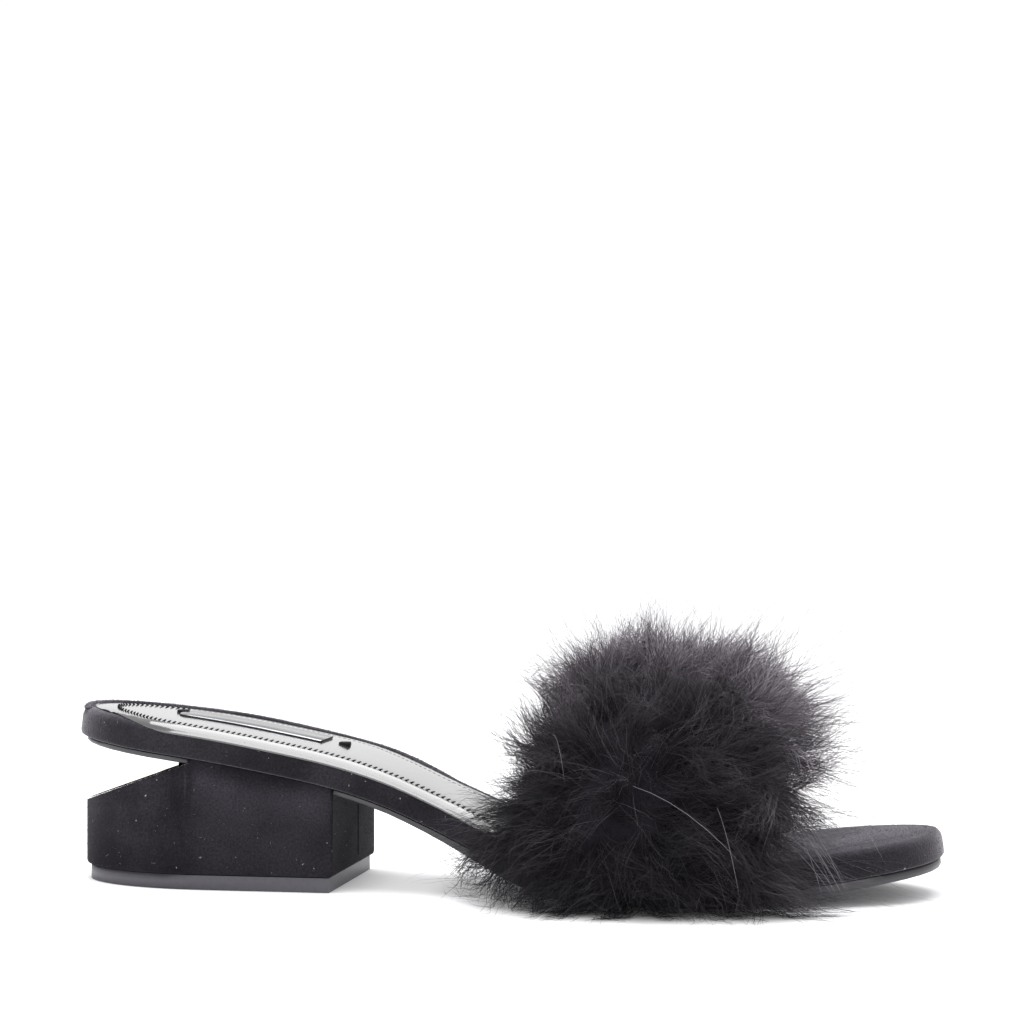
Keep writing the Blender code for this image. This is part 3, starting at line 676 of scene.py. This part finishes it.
def nap(name, piece, count, lengths, radius, upright, look):
    """Four-sided slivers that stand on a piece, or lie on it when they aren't upright."""
    faces, normals, areas = triangles_of(piece)
    along = faces.mean(1)[:, 0]
    seen = (normals[:, 2] > NAP_UNDERSIDE) & ((along < HIDDEN_BY_FUR[0]) | (along > HIDDEN_BY_FUR[1]))
    faces, normals, areas = faces[seen], normals[seen], areas[seen]
    roots, pick = scattered(faces, areas, count, nap_dice)
    out = normals[pick]
    way = unit(out * upright + nap_dice.normal(size=(count, 3)) * NAP_SCATTER)
    way += out * np.maximum(0, NAP_LEAN - (way * out).sum(1, keepdims=True))
    aside = unit(np.cross(way, unit(nap_dice.normal(size=(count, 3)))))
    other = np.cross(way, aside)
    foot = roots - out * NAP_FOOT
    ring = [foot + (aside * cos(2 * pi * k / 3) + other * sin(2 * pi * k / 3)) * radius for k in range(3)]
    tip = roots + way * nap_dice.uniform(*lengths, (count, 1))
    points = np.stack(ring + [tip], 1)
    corners = np.array([(0, 1, 3), (1, 2, 3), (2, 0, 3), (2, 1, 0)])
    corners = (corners[None] + np.arange(count)[:, None, None] * 4).reshape(-1)
    fibres = bpy.data.objects.new(name, quick_mesh(name, points.reshape(-1, 3), corners, 3))
    bpy.context.scene.collection.objects.link(fibres)
    dress(fibres, look)
    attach(fibres, "root")


nap_black, tree, shader = new_finish("suede_fibre", (0.030, 0.026, 0.032), 0.9)
shader.inputs["Specular IOR Level"].default_value = 0.1
mottle = object_texture(tree, "ShaderNodeTexNoise", Scale=1800.0, Detail=2.0)
tone = two_tone(tree, mottle.outputs["Fac"], (0.006, 0.005, 0.007), (0.160, 0.148, 0.160))
tone.color_ramp.elements[0].position = 0.40
tone.color_ramp.elements[1].position = 0.75
tree.links.new(tone.outputs["Color"], shader.inputs["Base Color"])
suede_pieces = {"footbed": footbed, "rim": rim_roll, "heel": block}
for name, on, count in NAP_COUNTS:
    nap(name, suede_pieces[on], count, NAP_LENGTH, NAP_RADIUS, 1.0, nap_black)
lint_pale, tree, shader = new_finish("suede_lint", (0.30, 0.29, 0.29), 0.8)
mottle = object_texture(tree, "ShaderNodeTexNoise", Scale=300.0, Detail=2.0)
tone = two_tone(tree, mottle.outputs["Fac"], (0.04, 0.04, 0.04), (0.50, 0.47, 0.44))
tree.links.new(tone.outputs["Color"], shader.inputs["Base Color"])
for name, on, count in LINT_COUNTS:
    nap(name, suede_pieces[on], count, LINT_LENGTH, LINT_RADIUS, 0.0, lint_pale)


# Label plate: a long narrow plate of satin metal with black sides, left bare; the black is lacquer and also
# painted shade for the shadow line along its edge.
# A black stud at each end pins it through the insole.
LABEL_ENDS = (-0.0120, 0.0317)
LABEL_CORNER = 0.0012
LABEL_LEVEL = 0.75
LABEL_TOUCH = 0.0001
LABEL_STREAK = (0.25, 2.5, 1.0)
STUD_PLACES = (("back", -0.0131, 0.0048), ("front", 0.0372, 0.0030))
STUD_HALF = (0.0017, 0.0013, 0.0007)
STUD_RISE = 0.4
STUD_ROUND = 0.0004

satin, tree, shader = new_finish("label_satin", (0.42, 0.42, 0.44), 0.20, 0.7)
place = finish_node(tree, "ShaderNodeTexCoord", (-1100, 0))
streak = finish_node(tree, "ShaderNodeTexNoise", (-800, -200), Scale=160.0, Detail=3.0)
drawn = finish_node(tree, "ShaderNodeMapping", (-950, -200))
drawn.inputs["Scale"].default_value = LABEL_STREAK
tree.links.new(place.outputs["Object"], drawn.inputs["Vector"])
tree.links.new(drawn.outputs["Vector"], streak.inputs["Vector"])
tone = two_tone(tree, streak.outputs["Fac"], (0.10, 0.10, 0.105), (0.36, 0.36, 0.38))
tone.color_ramp.elements[0].position = 0.30
tone.color_ramp.elements[1].position = 0.70
tree.links.new(tone.outputs["Color"], shader.inputs["Base Color"])
bumped(tree, shader, streak.outputs["Fac"], 0.10, 0.0001)
lacquer_and_edge_shade, tree, shader = new_finish("label_lacquer_and_edge_shade", (0.010, 0.010, 0.011), 0.6)
shader.inputs["Specular IOR Level"].default_value = 0.2
label = softened("label_plate", satin)
label.data.materials.append(lacquer_and_edge_shade)
form = bmesh.new()
form.from_mesh(label.data)
for x, way in ((LABEL_ENDS[0], -1), (LABEL_ENDS[1], 1)):
    whole = form.verts[:] + form.edges[:] + form.faces[:]
    cut = bmesh.ops.bisect_plane(form, geom=whole, plane_co=(x, 0, 0), plane_no=(way, 0, 0), clear_outer=True)
    bmesh.ops.edgeloop_fill(form, edges=[e for e in cut["geom_cut"] if isinstance(e, bmesh.types.BMEdge)])
corners = [
    edge for edge in form.edges
    if all(abs(v.co.x - LABEL_ENDS[1]) < LABEL_TOUCH for v in edge.verts)
    and edge.calc_face_angle(0) > 1
    and abs(edge.verts[0].co.y - edge.verts[1].co.y) < LABEL_TOUCH
]
bmesh.ops.bevel(form, geom=corners, offset=LABEL_CORNER, segments=4, profile=0.5, affect="EDGES")
bmesh.ops.recalc_face_normals(form, faces=form.faces)
form.to_mesh(label.data)
form.free()
# Faces that don't look up take the black, part lacquer and part painted shade along the plate's edge
for face in label.data.polygons:
    face.material_index = 0 if face.normal.z > LABEL_LEVEL else 1
for name, x, y in STUD_PLACES:
    rise = Vector((0, 0, STUD_HALF[2] * STUD_RISE))
    bpy.ops.mesh.primitive_cube_add(size=2, location=on_insole(x, y) + rise)
    stud = bpy.context.object
    stud.name = "label_stud_" + name
    stud.scale = STUD_HALF
    bpy.ops.object.transform_apply(location=True, rotation=True, scale=True)
    rounding = stud.modifiers.new("rounding", "BEVEL")
    rounding.width = STUD_ROUND
    rounding.segments = 3
    bpy.ops.object.modifier_apply(modifier="rounding")
    bpy.ops.object.shade_smooth()
    stud.select_set(False)
    dress(stud, lacquer_and_edge_shade)
    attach(stud, "root")


# Strap: the upper's band of plain lining leather, hollow underneath, which carries the fur.
# Its ends are tucked between footbed and outsole and cemented there.
lining, tree, shader = new_finish("strap_lining", (0.020, 0.019, 0.022), 0.55)
grain = object_texture(tree, "ShaderNodeTexVoronoi", Scale=1100.0)
bumped(tree, shader, grain.outputs["Distance"], 0.25, 0.0002)
softened("upper_strap", lining)


# Underfur: the hide sewn over the strap and the dense short down on it, a dark soft mass.
# It is the fur's own solid, its locks blurred into low clumps, and the long hair grows out of it.
UNDERFUR_GRAIN = 0.0022
UNDERFUR_SINK = 0.0008
UNDERFUR_BLUR = 45
UNDERFUR_CROWN = 0.048
CROWN_SHARE = 0.86
FUR_AXIS = (0.125, 0.001, 0.016)

underfur = bpy.data.objects.new("underfur", solid["fur"].data.copy())
bpy.context.scene.collection.objects.link(underfur)
bpy.ops.object.select_all(action="DESELECT")
bpy.context.view_layer.objects.active = underfur
underfur.select_set(True)
weld = underfur.modifiers.new("weld", "WELD")
weld.merge_threshold = WELD_DISTANCE
felt = underfur.modifiers.new("felt", "REMESH")
felt.mode = "VOXEL"
felt.voxel_size = UNDERFUR_GRAIN
blur = underfur.modifiers.new("blur", "SMOOTH")
blur.factor = 0.5
blur.iterations = UNDERFUR_BLUR
for step in ("weld", "felt", "blur"):
    bpy.ops.object.modifier_apply(modifier=step)
# The down is thinner than the solid, so that only hair shows at its outline
flat = np.zeros(len(underfur.data.vertices) * 3, np.float32)
underfur.data.vertices.foreach_get("co", flat)
ways_out = np.zeros_like(flat)
underfur.data.vertices.foreach_get("normal", ways_out)
spots, ways_out = flat.reshape(-1, 3), ways_out.reshape(-1, 3)
facing = ((spots - np.array(FUR_AXIS)) * ways_out).sum(1, keepdims=True) > 0
spots = spots - ways_out * facing * UNDERFUR_SINK
spots[:, 2] -= np.maximum(spots[:, 2] - UNDERFUR_CROWN, 0) * (1 - CROWN_SHARE)
underfur.data.vertices.foreach_set("co", spots.reshape(-1))
bpy.ops.object.shade_smooth()
underfur.select_set(False)
down_dark, tree, shader = new_finish("underfur_down", (0.007, 0.006, 0.008), 0.9)
shader.inputs["Specular IOR Level"].default_value = 0.15
curls = object_texture(tree, "ShaderNodeTexNoise", Scale=600.0, Detail=5.0)
tone = two_tone(tree, curls.outputs["Fac"], (0.004, 0.003, 0.005), (0.012, 0.010, 0.014))
tree.links.new(tone.outputs["Color"], shader.inputs["Base Color"])
bumped(tree, shader, curls.outputs["Fac"], 0.9, 0.001)
dress(underfur, down_dark)
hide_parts("fur")
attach(underfur, "root")


# Fur: long soft black hair in tufts, growing from the hide that is sewn over the strap.
# It parts low on each side of the shoe and lies outwards from there, stands up along the crown,
# and hangs beside the sole down to the floor.
FUR_SEED = 11
# Where the hair starts, and how far it leaves along the skin's normal and away from the axis
ROOT_DEPTH = 0.0012
ROOT_FACING = 0.15
ROOT_ENDS = 1.3
AWAY_STRETCH = (1.15, 1.0, 1.0)
AWAY_SHARES = (0.45, 0.75)
# Down is short and dense, guard hair long and thin, and locks are thicker curled tufts
DOWN_TUFTS = 1240
DOWN_PIECES = 4
DOWN_HAIRS = 18
DOWN_LENGTH = (0.012, 0.023)
DOWN_RADIUS = 0.000085
GUARD_TUFTS = 1250
GUARD_HAIRS = 3
GUARD_LENGTH = (0.017, 0.029)
GUARD_RADIUS = 0.000050
LOCK_COUNT = 190
LOCK_HAIRS = 9
LOCK_LENGTH = (0.015, 0.027)
TUFT_REACH = 0.0017
# Single long hairs from root to tip, and how far they stray and bow
TOE_STRAYS = 10
TOE_BUNCH = ((0.166, -0.041, 0.030), (0.188, -0.056, 0.006))
LOOSE_STRAYS = (
    ((0.176, -0.028, 0.031), (0.196, -0.045, 0.0135)),
    ((0.134, -0.067, 0.036), (0.161, -0.074, 0.016)),
    ((0.152, -0.069, 0.033), (0.162, -0.075, 0.006)),
    ((0.108, -0.062, 0.050), (0.116, -0.070, 0.034)),
    ((0.172, -0.020, 0.060), (0.184, -0.034, 0.040)),
)
STRAY_SPREAD = (0.0035, 0.0020, 0.0018)
STRAY_BOW = (0.002, 0.006)
STRAY_RADIUS = 0.000068
STRAY_TONE = (0.40, 0.80)
STRAY_POINTS = 7
# The parting's middle along X and in height, and how the hair lies round it
PARTING = (0.130, 0.035)
PARTING_SIDE = 0.056
PARTING_REACH = 0.012
START_SCATTER = 0.38
CROWN_HAIR = (0.036, 0.026)
FLOOR_HAIR = (0.020, -0.25)
# Start and reach of each change in the hair's length, along X and in height
CROP_HEIGHT = (0.042, 0.020)
CROP_MIDDLE = (0.134, 0.026)
LOW_FRONT = (0.150, 0.012)
LOW_BACK = ((0.108, 0.012), (0.036, 0.014))
SHOULDER = ((0.112, 0.014), (0.054, 0.016))
FLOOR_SIDE = (0.018, 0.010)
# Start and reach of each change in the hair's tone: painted light up the crown and at the ends, painted shade
# in the low middle
PAINTED_LIGHT_HEIGHT = (0.012, 0.055)
PAINTED_LIGHT_END = 0.040
PAINTED_SHADE_MIDDLE = (0.85, 0.024)
TONE_CLOUD = 0.35
# How a tuft's hairs differ: their own bend and wander have a size and grow by a power
GATHER = 0.80
STRETCH = (0.5, 1.12)
BEND = (0.0026, 1.6)
WANDER = (0.0006, 0.8, 6)
WANDER_STEP = 0.012
RADIUS_SPREAD = (0.6, 1.2)
HAIR_TAPER = 0.80
# The sole and the floor that the hair lies on, and where it bends over at its top and sides
SOLE_PLACES = (0.04, 0.205, 60)
SOLE_NEAR = 0.006
SOLE_DEEP = 0.012
FLOOR_CLEAR = 0.0004
HAIR_TOP = (0.084, 0.0078)
HAIR_SIDE = (0.077, 0.0085)

dice = np.random.default_rng(FUR_SEED)
ground_faces, ground_ways, ground_areas = triangles_of(underfur)
outward = (unit(ground_faces.mean(1) - np.array(FUR_AXIS)) * ground_ways).sum(1) > ROOT_FACING
ground_faces, ground_ways = ground_faces[outward], ground_ways[outward]
ground_areas = ground_areas[outward]


def rising(values, start, reach):
    """0 up to a start, and 1 from a reach beyond it."""
    return np.clip((values - start) / reach, 0, 1)


def falling(values, start, reach):
    """0 down to a start, and 1 from a reach below it."""
    return np.clip((start - values) / reach, 0, 1)


def fur_roots(count):
    """Random points on the underfur and the general way out round each."""
    share = ground_areas * (1 + ROOT_ENDS * np.abs(ground_ways[:, 0]))
    roots, pick = scattered(ground_faces, share, count, dice)
    away = unit((roots - np.array(FUR_AXIS)) * np.array(AWAY_STRETCH))
    ways = unit(ground_ways[pick] * AWAY_SHARES[0] + away * AWAY_SHARES[1])
    return roots - ways * ROOT_DEPTH, ways


def fur_way(roots, ways):
    """The way in which the fur leaves the skin: outwards, and away from the side's parting."""
    crown = rising(roots[:, 2], *CROWN_HAIR)[:, None]
    side = np.where(roots[:, 1] < FUR_AXIS[1], -1.0, 1.0)
    level = np.ones(len(roots))
    flow = roots - np.stack([level * PARTING[0], side * PARTING_SIDE, level * PARTING[1]], 1)
    flow -= ways * (flow * ways).sum(1, keepdims=True)
    reach = np.linalg.norm(flow, axis=1, keepdims=True)
    flow = flow / np.maximum(reach, 1e-6) * np.clip(reach / PARTING_REACH, 0, 1)
    way = unit(ways * (0.62 + 0.38 * crown) + flow * (0.85 - 0.70 * crown))
    # Hair that starts near the floor leaves sideways
    low = roots[:, 2] < FLOOR_HAIR[0]
    way[:, 2] = np.where(low, np.maximum(way[:, 2], FLOOR_HAIR[1]), way[:, 2])
    return unit(way)


def length_share(roots, crop, front):
    """The hair is cropped along the crown, most at its corners, and longest low at the front."""
    crown = rising(roots[:, 2], *CROP_HEIGHT)
    ends = np.clip((np.abs(roots[:, 0] - CROP_MIDDLE[0]) / CROP_MIDDLE[1]), 0, 1.3) ** 2
    low_front = rising(roots[:, 0], *LOW_FRONT) * (1 - crown)
    low_back = falling(roots[:, 0], *LOW_BACK[0]) * falling(roots[:, 2], *LOW_BACK[1])
    level, band = SHOULDER[1]
    shoulder = falling(roots[:, 0], *SHOULDER[0]) * np.clip(1 - np.abs(roots[:, 2] - level) / band, 0, 1)
    floor_side = falling(roots[:, 2], *FLOOR_SIDE)
    return (1 - crop * crown * (0.26 + 0.22 * ends)) * (
        1 + front * low_front + 0.40 * low_back + 0.45 * shoulder + 0.12 * floor_side
    )


def painted_fur_light(roots, least):
    """Painted light on the thin fur of the crown and the ends, and painted shade in its low middle; a slow
    cloud varies it.
    """
    height = rising(roots[:, 2], *PAINTED_LIGHT_HEIGHT)
    end = rising(roots[:, 0], PARTING[0], PAINTED_LIGHT_END)
    cloud = 1 + TONE_CLOUD * drift(roots)[:, 0]
    aside = np.hypot(roots[:, 0] - PARTING[0], roots[:, 2] - PARTING[1])
    cloud *= 1 - PAINTED_SHADE_MIDDLE[0] * np.exp(-((aside / PAINTED_SHADE_MIDDLE[1]) ** 2))
    return np.clip((0.03 + 1.15 * height**3 + 0.30 * end**2) * cloud, least, 1.3)


wave_ways = unit(dice.normal(size=(14, 3)))
wave_sizes = np.concatenate([dice.uniform(120, 420, 6), dice.uniform(600, 1300, 8)])
wave_turns = dice.uniform(0, 2 * pi, (14, 3))


def drift(points):
    """A slow sideways push that changes over a few millimetres, so that tufts curl together."""
    push = np.zeros_like(points)
    for way, size, turn in zip(wave_ways, wave_sizes, wave_turns):
        push += np.sin((points @ way)[..., None] * size + turn)
    return push / 4


footbed_flat = np.zeros(len(solid["footbed"].data.vertices) * 3, np.float32)
solid["footbed"].data.vertices.foreach_get("co", footbed_flat)
footbed_points = footbed_flat.reshape(-1, 3).astype(float)
sole_places = np.linspace(*SOLE_PLACES)
near_places = [footbed_points[np.abs(footbed_points[:, 0] - x) < SOLE_NEAR] for x in sole_places]
sole_top = [near[:, 2].max() for near in near_places]
sole_low = [near[:, 1].min() for near in near_places]
sole_high = [near[:, 1].max() for near in near_places]


def kept_in(points):
    """Points inside the sole are moved on to it or out beside it, and high ones bend over."""
    x = points[..., 0]
    top = np.interp(x, sole_places, sole_top) + FLOOR_CLEAR
    low = np.interp(x, sole_places, sole_low) - FLOOR_CLEAR
    high = np.interp(x, sole_places, sole_high) + FLOOR_CLEAR
    y, z = points[..., 1], points[..., 2]
    inside = (y > low) & (y < high) & (z < top) & (z > top - SOLE_DEEP)
    up = top - z
    out = np.minimum(y - low, high - y)
    lift = inside & (up <= out)
    aside = inside & ~lift
    points[..., 2] = np.where(lift, top, z)
    points[..., 1] = np.where(aside, np.where(y - low < high - y, low, high), y)
    over = np.maximum(points[..., 2] - HAIR_TOP[0], 0)
    points[..., 2] -= over - HAIR_TOP[1] * (1 - np.exp(-over / HAIR_TOP[1]))
    points[..., 2] = np.maximum(points[..., 2], FLOOR_CLEAR)
    wide = np.maximum(np.abs(points[..., 1]) - HAIR_SIDE[0], 0)
    drawn = wide - HAIR_SIDE[1] * (1 - np.exp(-wide / HAIR_SIDE[1]))
    points[..., 1] -= np.sign(points[..., 1]) * drawn
    return points


def grow(roots, ways, lengths, sag, curl, steps):
    """Paths of hairs that start along their ways, sag, and drift with their neighbours."""
    paths = [roots]
    way = ways.copy()
    here = roots.copy()
    for step in range(steps - 1):
        share = (step + 1) / (steps - 1)
        way = way + drift(here) * curl * share
        way[:, 2] -= sag * share
        way = unit(way)
        here = kept_in(here + way * (lengths / (steps - 1))[:, None])
        paths.append(here.copy())
    return np.stack(paths, 1)


def hair_mesh(name, paths, radius, tones):
    """Closed three-sided hairs that taper to a point, each with its own tone, with painted shade at its root
    and painted light towards its tip.
    """
    count, steps, _ = paths.shape
    along = unit(np.gradient(paths, axis=1))
    aside = unit(np.cross(along, unit(dice.normal(size=(count, 1, 3)))))
    other = np.cross(along, aside)
    share = np.linspace(0, 1, steps)[None, :, None]
    width = radius[:, None, None] * (1 - HAIR_TAPER * share**2)
    rings = []
    for k in range(3):
        angle = 2 * pi * k / 3
        rings.append(paths + (aside * cos(angle) + other * sin(angle)) * width)
    rings = np.stack(rings, 2)[:, :-1]
    points = np.concatenate([rings.reshape(count, -1, 3), paths[:, -1:]], 1)
    each = points.shape[1]
    sides = []
    for step in range(steps - 2):
        for k in range(3):
            a, b = step * 3 + k, step * 3 + (k + 1) % 3
            sides.append((a, b, b + 3, a + 3))
    tips = [((steps - 2) * 3 + k, (steps - 2) * 3 + (k + 1) % 3, each - 1) for k in range(3)]
    tips.append((2, 1, 0))
    start = np.arange(count)[:, None, None] * each
    quads = (np.array(sides)[None] + start).reshape(-1)
    tris = (np.array(tips)[None] + start).reshape(-1)
    corners = np.concatenate([quads, tris])
    sizes = np.concatenate([np.full(len(quads) // 4, 4), np.full(len(tris) // 3, 3)])
    begins = np.concatenate([[0], np.cumsum(sizes)[:-1]])
    mesh = bpy.data.meshes.new(name)
    mesh.vertices.add(count * each)
    mesh.vertices.foreach_set("co", points.reshape(-1).astype(np.float32))
    mesh.loops.add(len(corners))
    mesh.loops.foreach_set("vertex_index", corners.astype(np.int32))
    mesh.polygons.add(len(sizes))
    mesh.polygons.foreach_set("loop_start", begins.astype(np.int32))
    mesh.update(calc_edges=True)
    mesh.shade_smooth()
    tone = mesh.attributes.new("hair_tone_and_light", "FLOAT", "POINT")
    # Painted shade at the root and painted light towards the tip of each hair
    painted_tip_light = np.concatenate([np.repeat(np.linspace(0, 1, steps)[:-1], 3), [1.0]])
    values = tones[:, None] * (0.25 + 0.75 * painted_tip_light[None])
    tone.data.foreach_set("value", values.reshape(-1).astype(np.float32))
    piece = bpy.data.objects.new(name, mesh)
    bpy.context.scene.collection.objects.link(piece)
    return piece


def hair_finish(name, dark, light, roughness):
    """Hair whose colour follows the tone that each hair carries."""
    look, tree, shader = new_finish(name, light, roughness)
    shader.inputs["Specular IOR Level"].default_value = 0.20
    own = tree.nodes.new("ShaderNodeAttribute")
    own.attribute_name = "hair_tone_and_light"
    own.location = (-700, 200)
    tone = two_tone(tree, own.outputs["Fac"], dark, light)
    tree.links.new(tone.outputs["Color"], shader.inputs["Base Color"])
    return look


def body_step(share):
    """Small even steps along X that let each hair wander in its own way."""
    return np.stack([share * WANDER_STEP, share * 0.0, share * 0.0], -1)[None, None]


def tufts(name, count, hairs, lengths, crop, front, sag, curl, radius, steps, least, look):
    """Tufts of hairs: each tuft has a guide path, and its hairs gather towards it."""
    roots, ways = fur_roots(count)
    starts = unit(fur_way(roots, ways) + dice.normal(size=(count, 3)) * START_SCATTER)
    sizes = dice.uniform(*lengths, count) * length_share(roots, crop, front)
    guides = grow(roots, starts, sizes, sag, curl, steps)
    offset = dice.normal(size=(count, hairs, 3)) * TUFT_REACH
    offset -= ways[:, None] * (offset * ways[:, None]).sum(-1, keepdims=True)
    share = np.linspace(0, 1, steps)
    gather = (1 - GATHER * share)[None, None, :, None]
    stretch = dice.uniform(*STRETCH, (count, hairs, 1, 1))
    bend = dice.normal(size=(count, hairs, 1, 3)) * BEND[0] * (share ** BEND[1])[None, None, :, None]
    wander = drift((roots[:, None] + offset * WANDER[2])[:, :, None] + body_step(share)) * WANDER[0]
    stray = bend + wander * (share ** WANDER[1])[None, None, :, None]
    body = (guides - roots[:, None])[:, None]
    paths = roots[:, None, None] + offset[:, :, None] * gather + body * stretch + stray
    paths = kept_in(paths.reshape(count * hairs, steps, 3))
    # Most tufts are dark, and a few far paler than the rest
    tones = np.repeat(0.25 + 1.1 * dice.random(count) ** 2.6, hairs)
    tones = tones * (0.7 + 0.3 * dice.random(count * hairs))
    # Painted light and shade laid on each tuft's tone by where it grows
    tones *= np.repeat(painted_fur_light(roots, least), hairs)
    radii = dice.uniform(*RADIUS_SPREAD, count * hairs) * radius
    piece = hair_mesh(name, paths, radii, tones)
    piece.data.materials.append(look)
    return piece


down_black = hair_finish("fur_down", (0.006, 0.005, 0.007), (0.560, 0.500, 0.575), 0.60)
guard_black = hair_finish("fur_guard", (0.014, 0.012, 0.015), (0.640, 0.580, 0.650), 0.45)
fur_pieces = []
for k in range(DOWN_PIECES):
    fur_pieces.append(tufts(
        "fur_down_%d" % (k + 1), DOWN_TUFTS // DOWN_PIECES, DOWN_HAIRS, DOWN_LENGTH, crop=0.55, front=0.30,
        sag=0.12, curl=0.70, radius=DOWN_RADIUS, steps=6, least=0.02, look=down_black,
    ))
fur_pieces.append(tufts(
    "fur_locks", LOCK_COUNT, LOCK_HAIRS, LOCK_LENGTH, crop=0.3, front=0.5,
    sag=0.20, curl=0.85, radius=DOWN_RADIUS, steps=7, least=0.16, look=down_black,
))
fur_pieces.append(tufts(
    "fur_guard", GUARD_TUFTS, GUARD_HAIRS, GUARD_LENGTH, crop=-0.25, front=1.2,
    sag=0.10, curl=0.20, radius=GUARD_RADIUS, steps=7, least=0.20, look=guard_black,
))
# Long pale strays: a bunch that falls over the toe, and a few that lie loose on the outer side
stray_ends = [TOE_BUNCH] * TOE_STRAYS + list(LOOSE_STRAYS)
ends = np.array(stray_ends) + dice.normal(size=(len(stray_ends), 2, 3)) * STRAY_SPREAD
share = np.linspace(0, 1, STRAY_POINTS)[None, :, None]
strays = ends[:, None, 0] * (1 - share) + ends[:, None, 1] * share
strays[..., 2] += 4 * (share * (1 - share))[..., 0] * dice.uniform(*STRAY_BOW, (len(ends), 1))
strays = kept_in(strays)
fur_pieces.append(hair_mesh(
    "fur_strays", strays, np.full(len(strays), STRAY_RADIUS), dice.uniform(*STRAY_TONE, len(strays))
))
fur_pieces[-1].data.materials.append(guard_black)
for piece in fur_pieces:
    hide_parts("fur")
    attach(piece, "root")
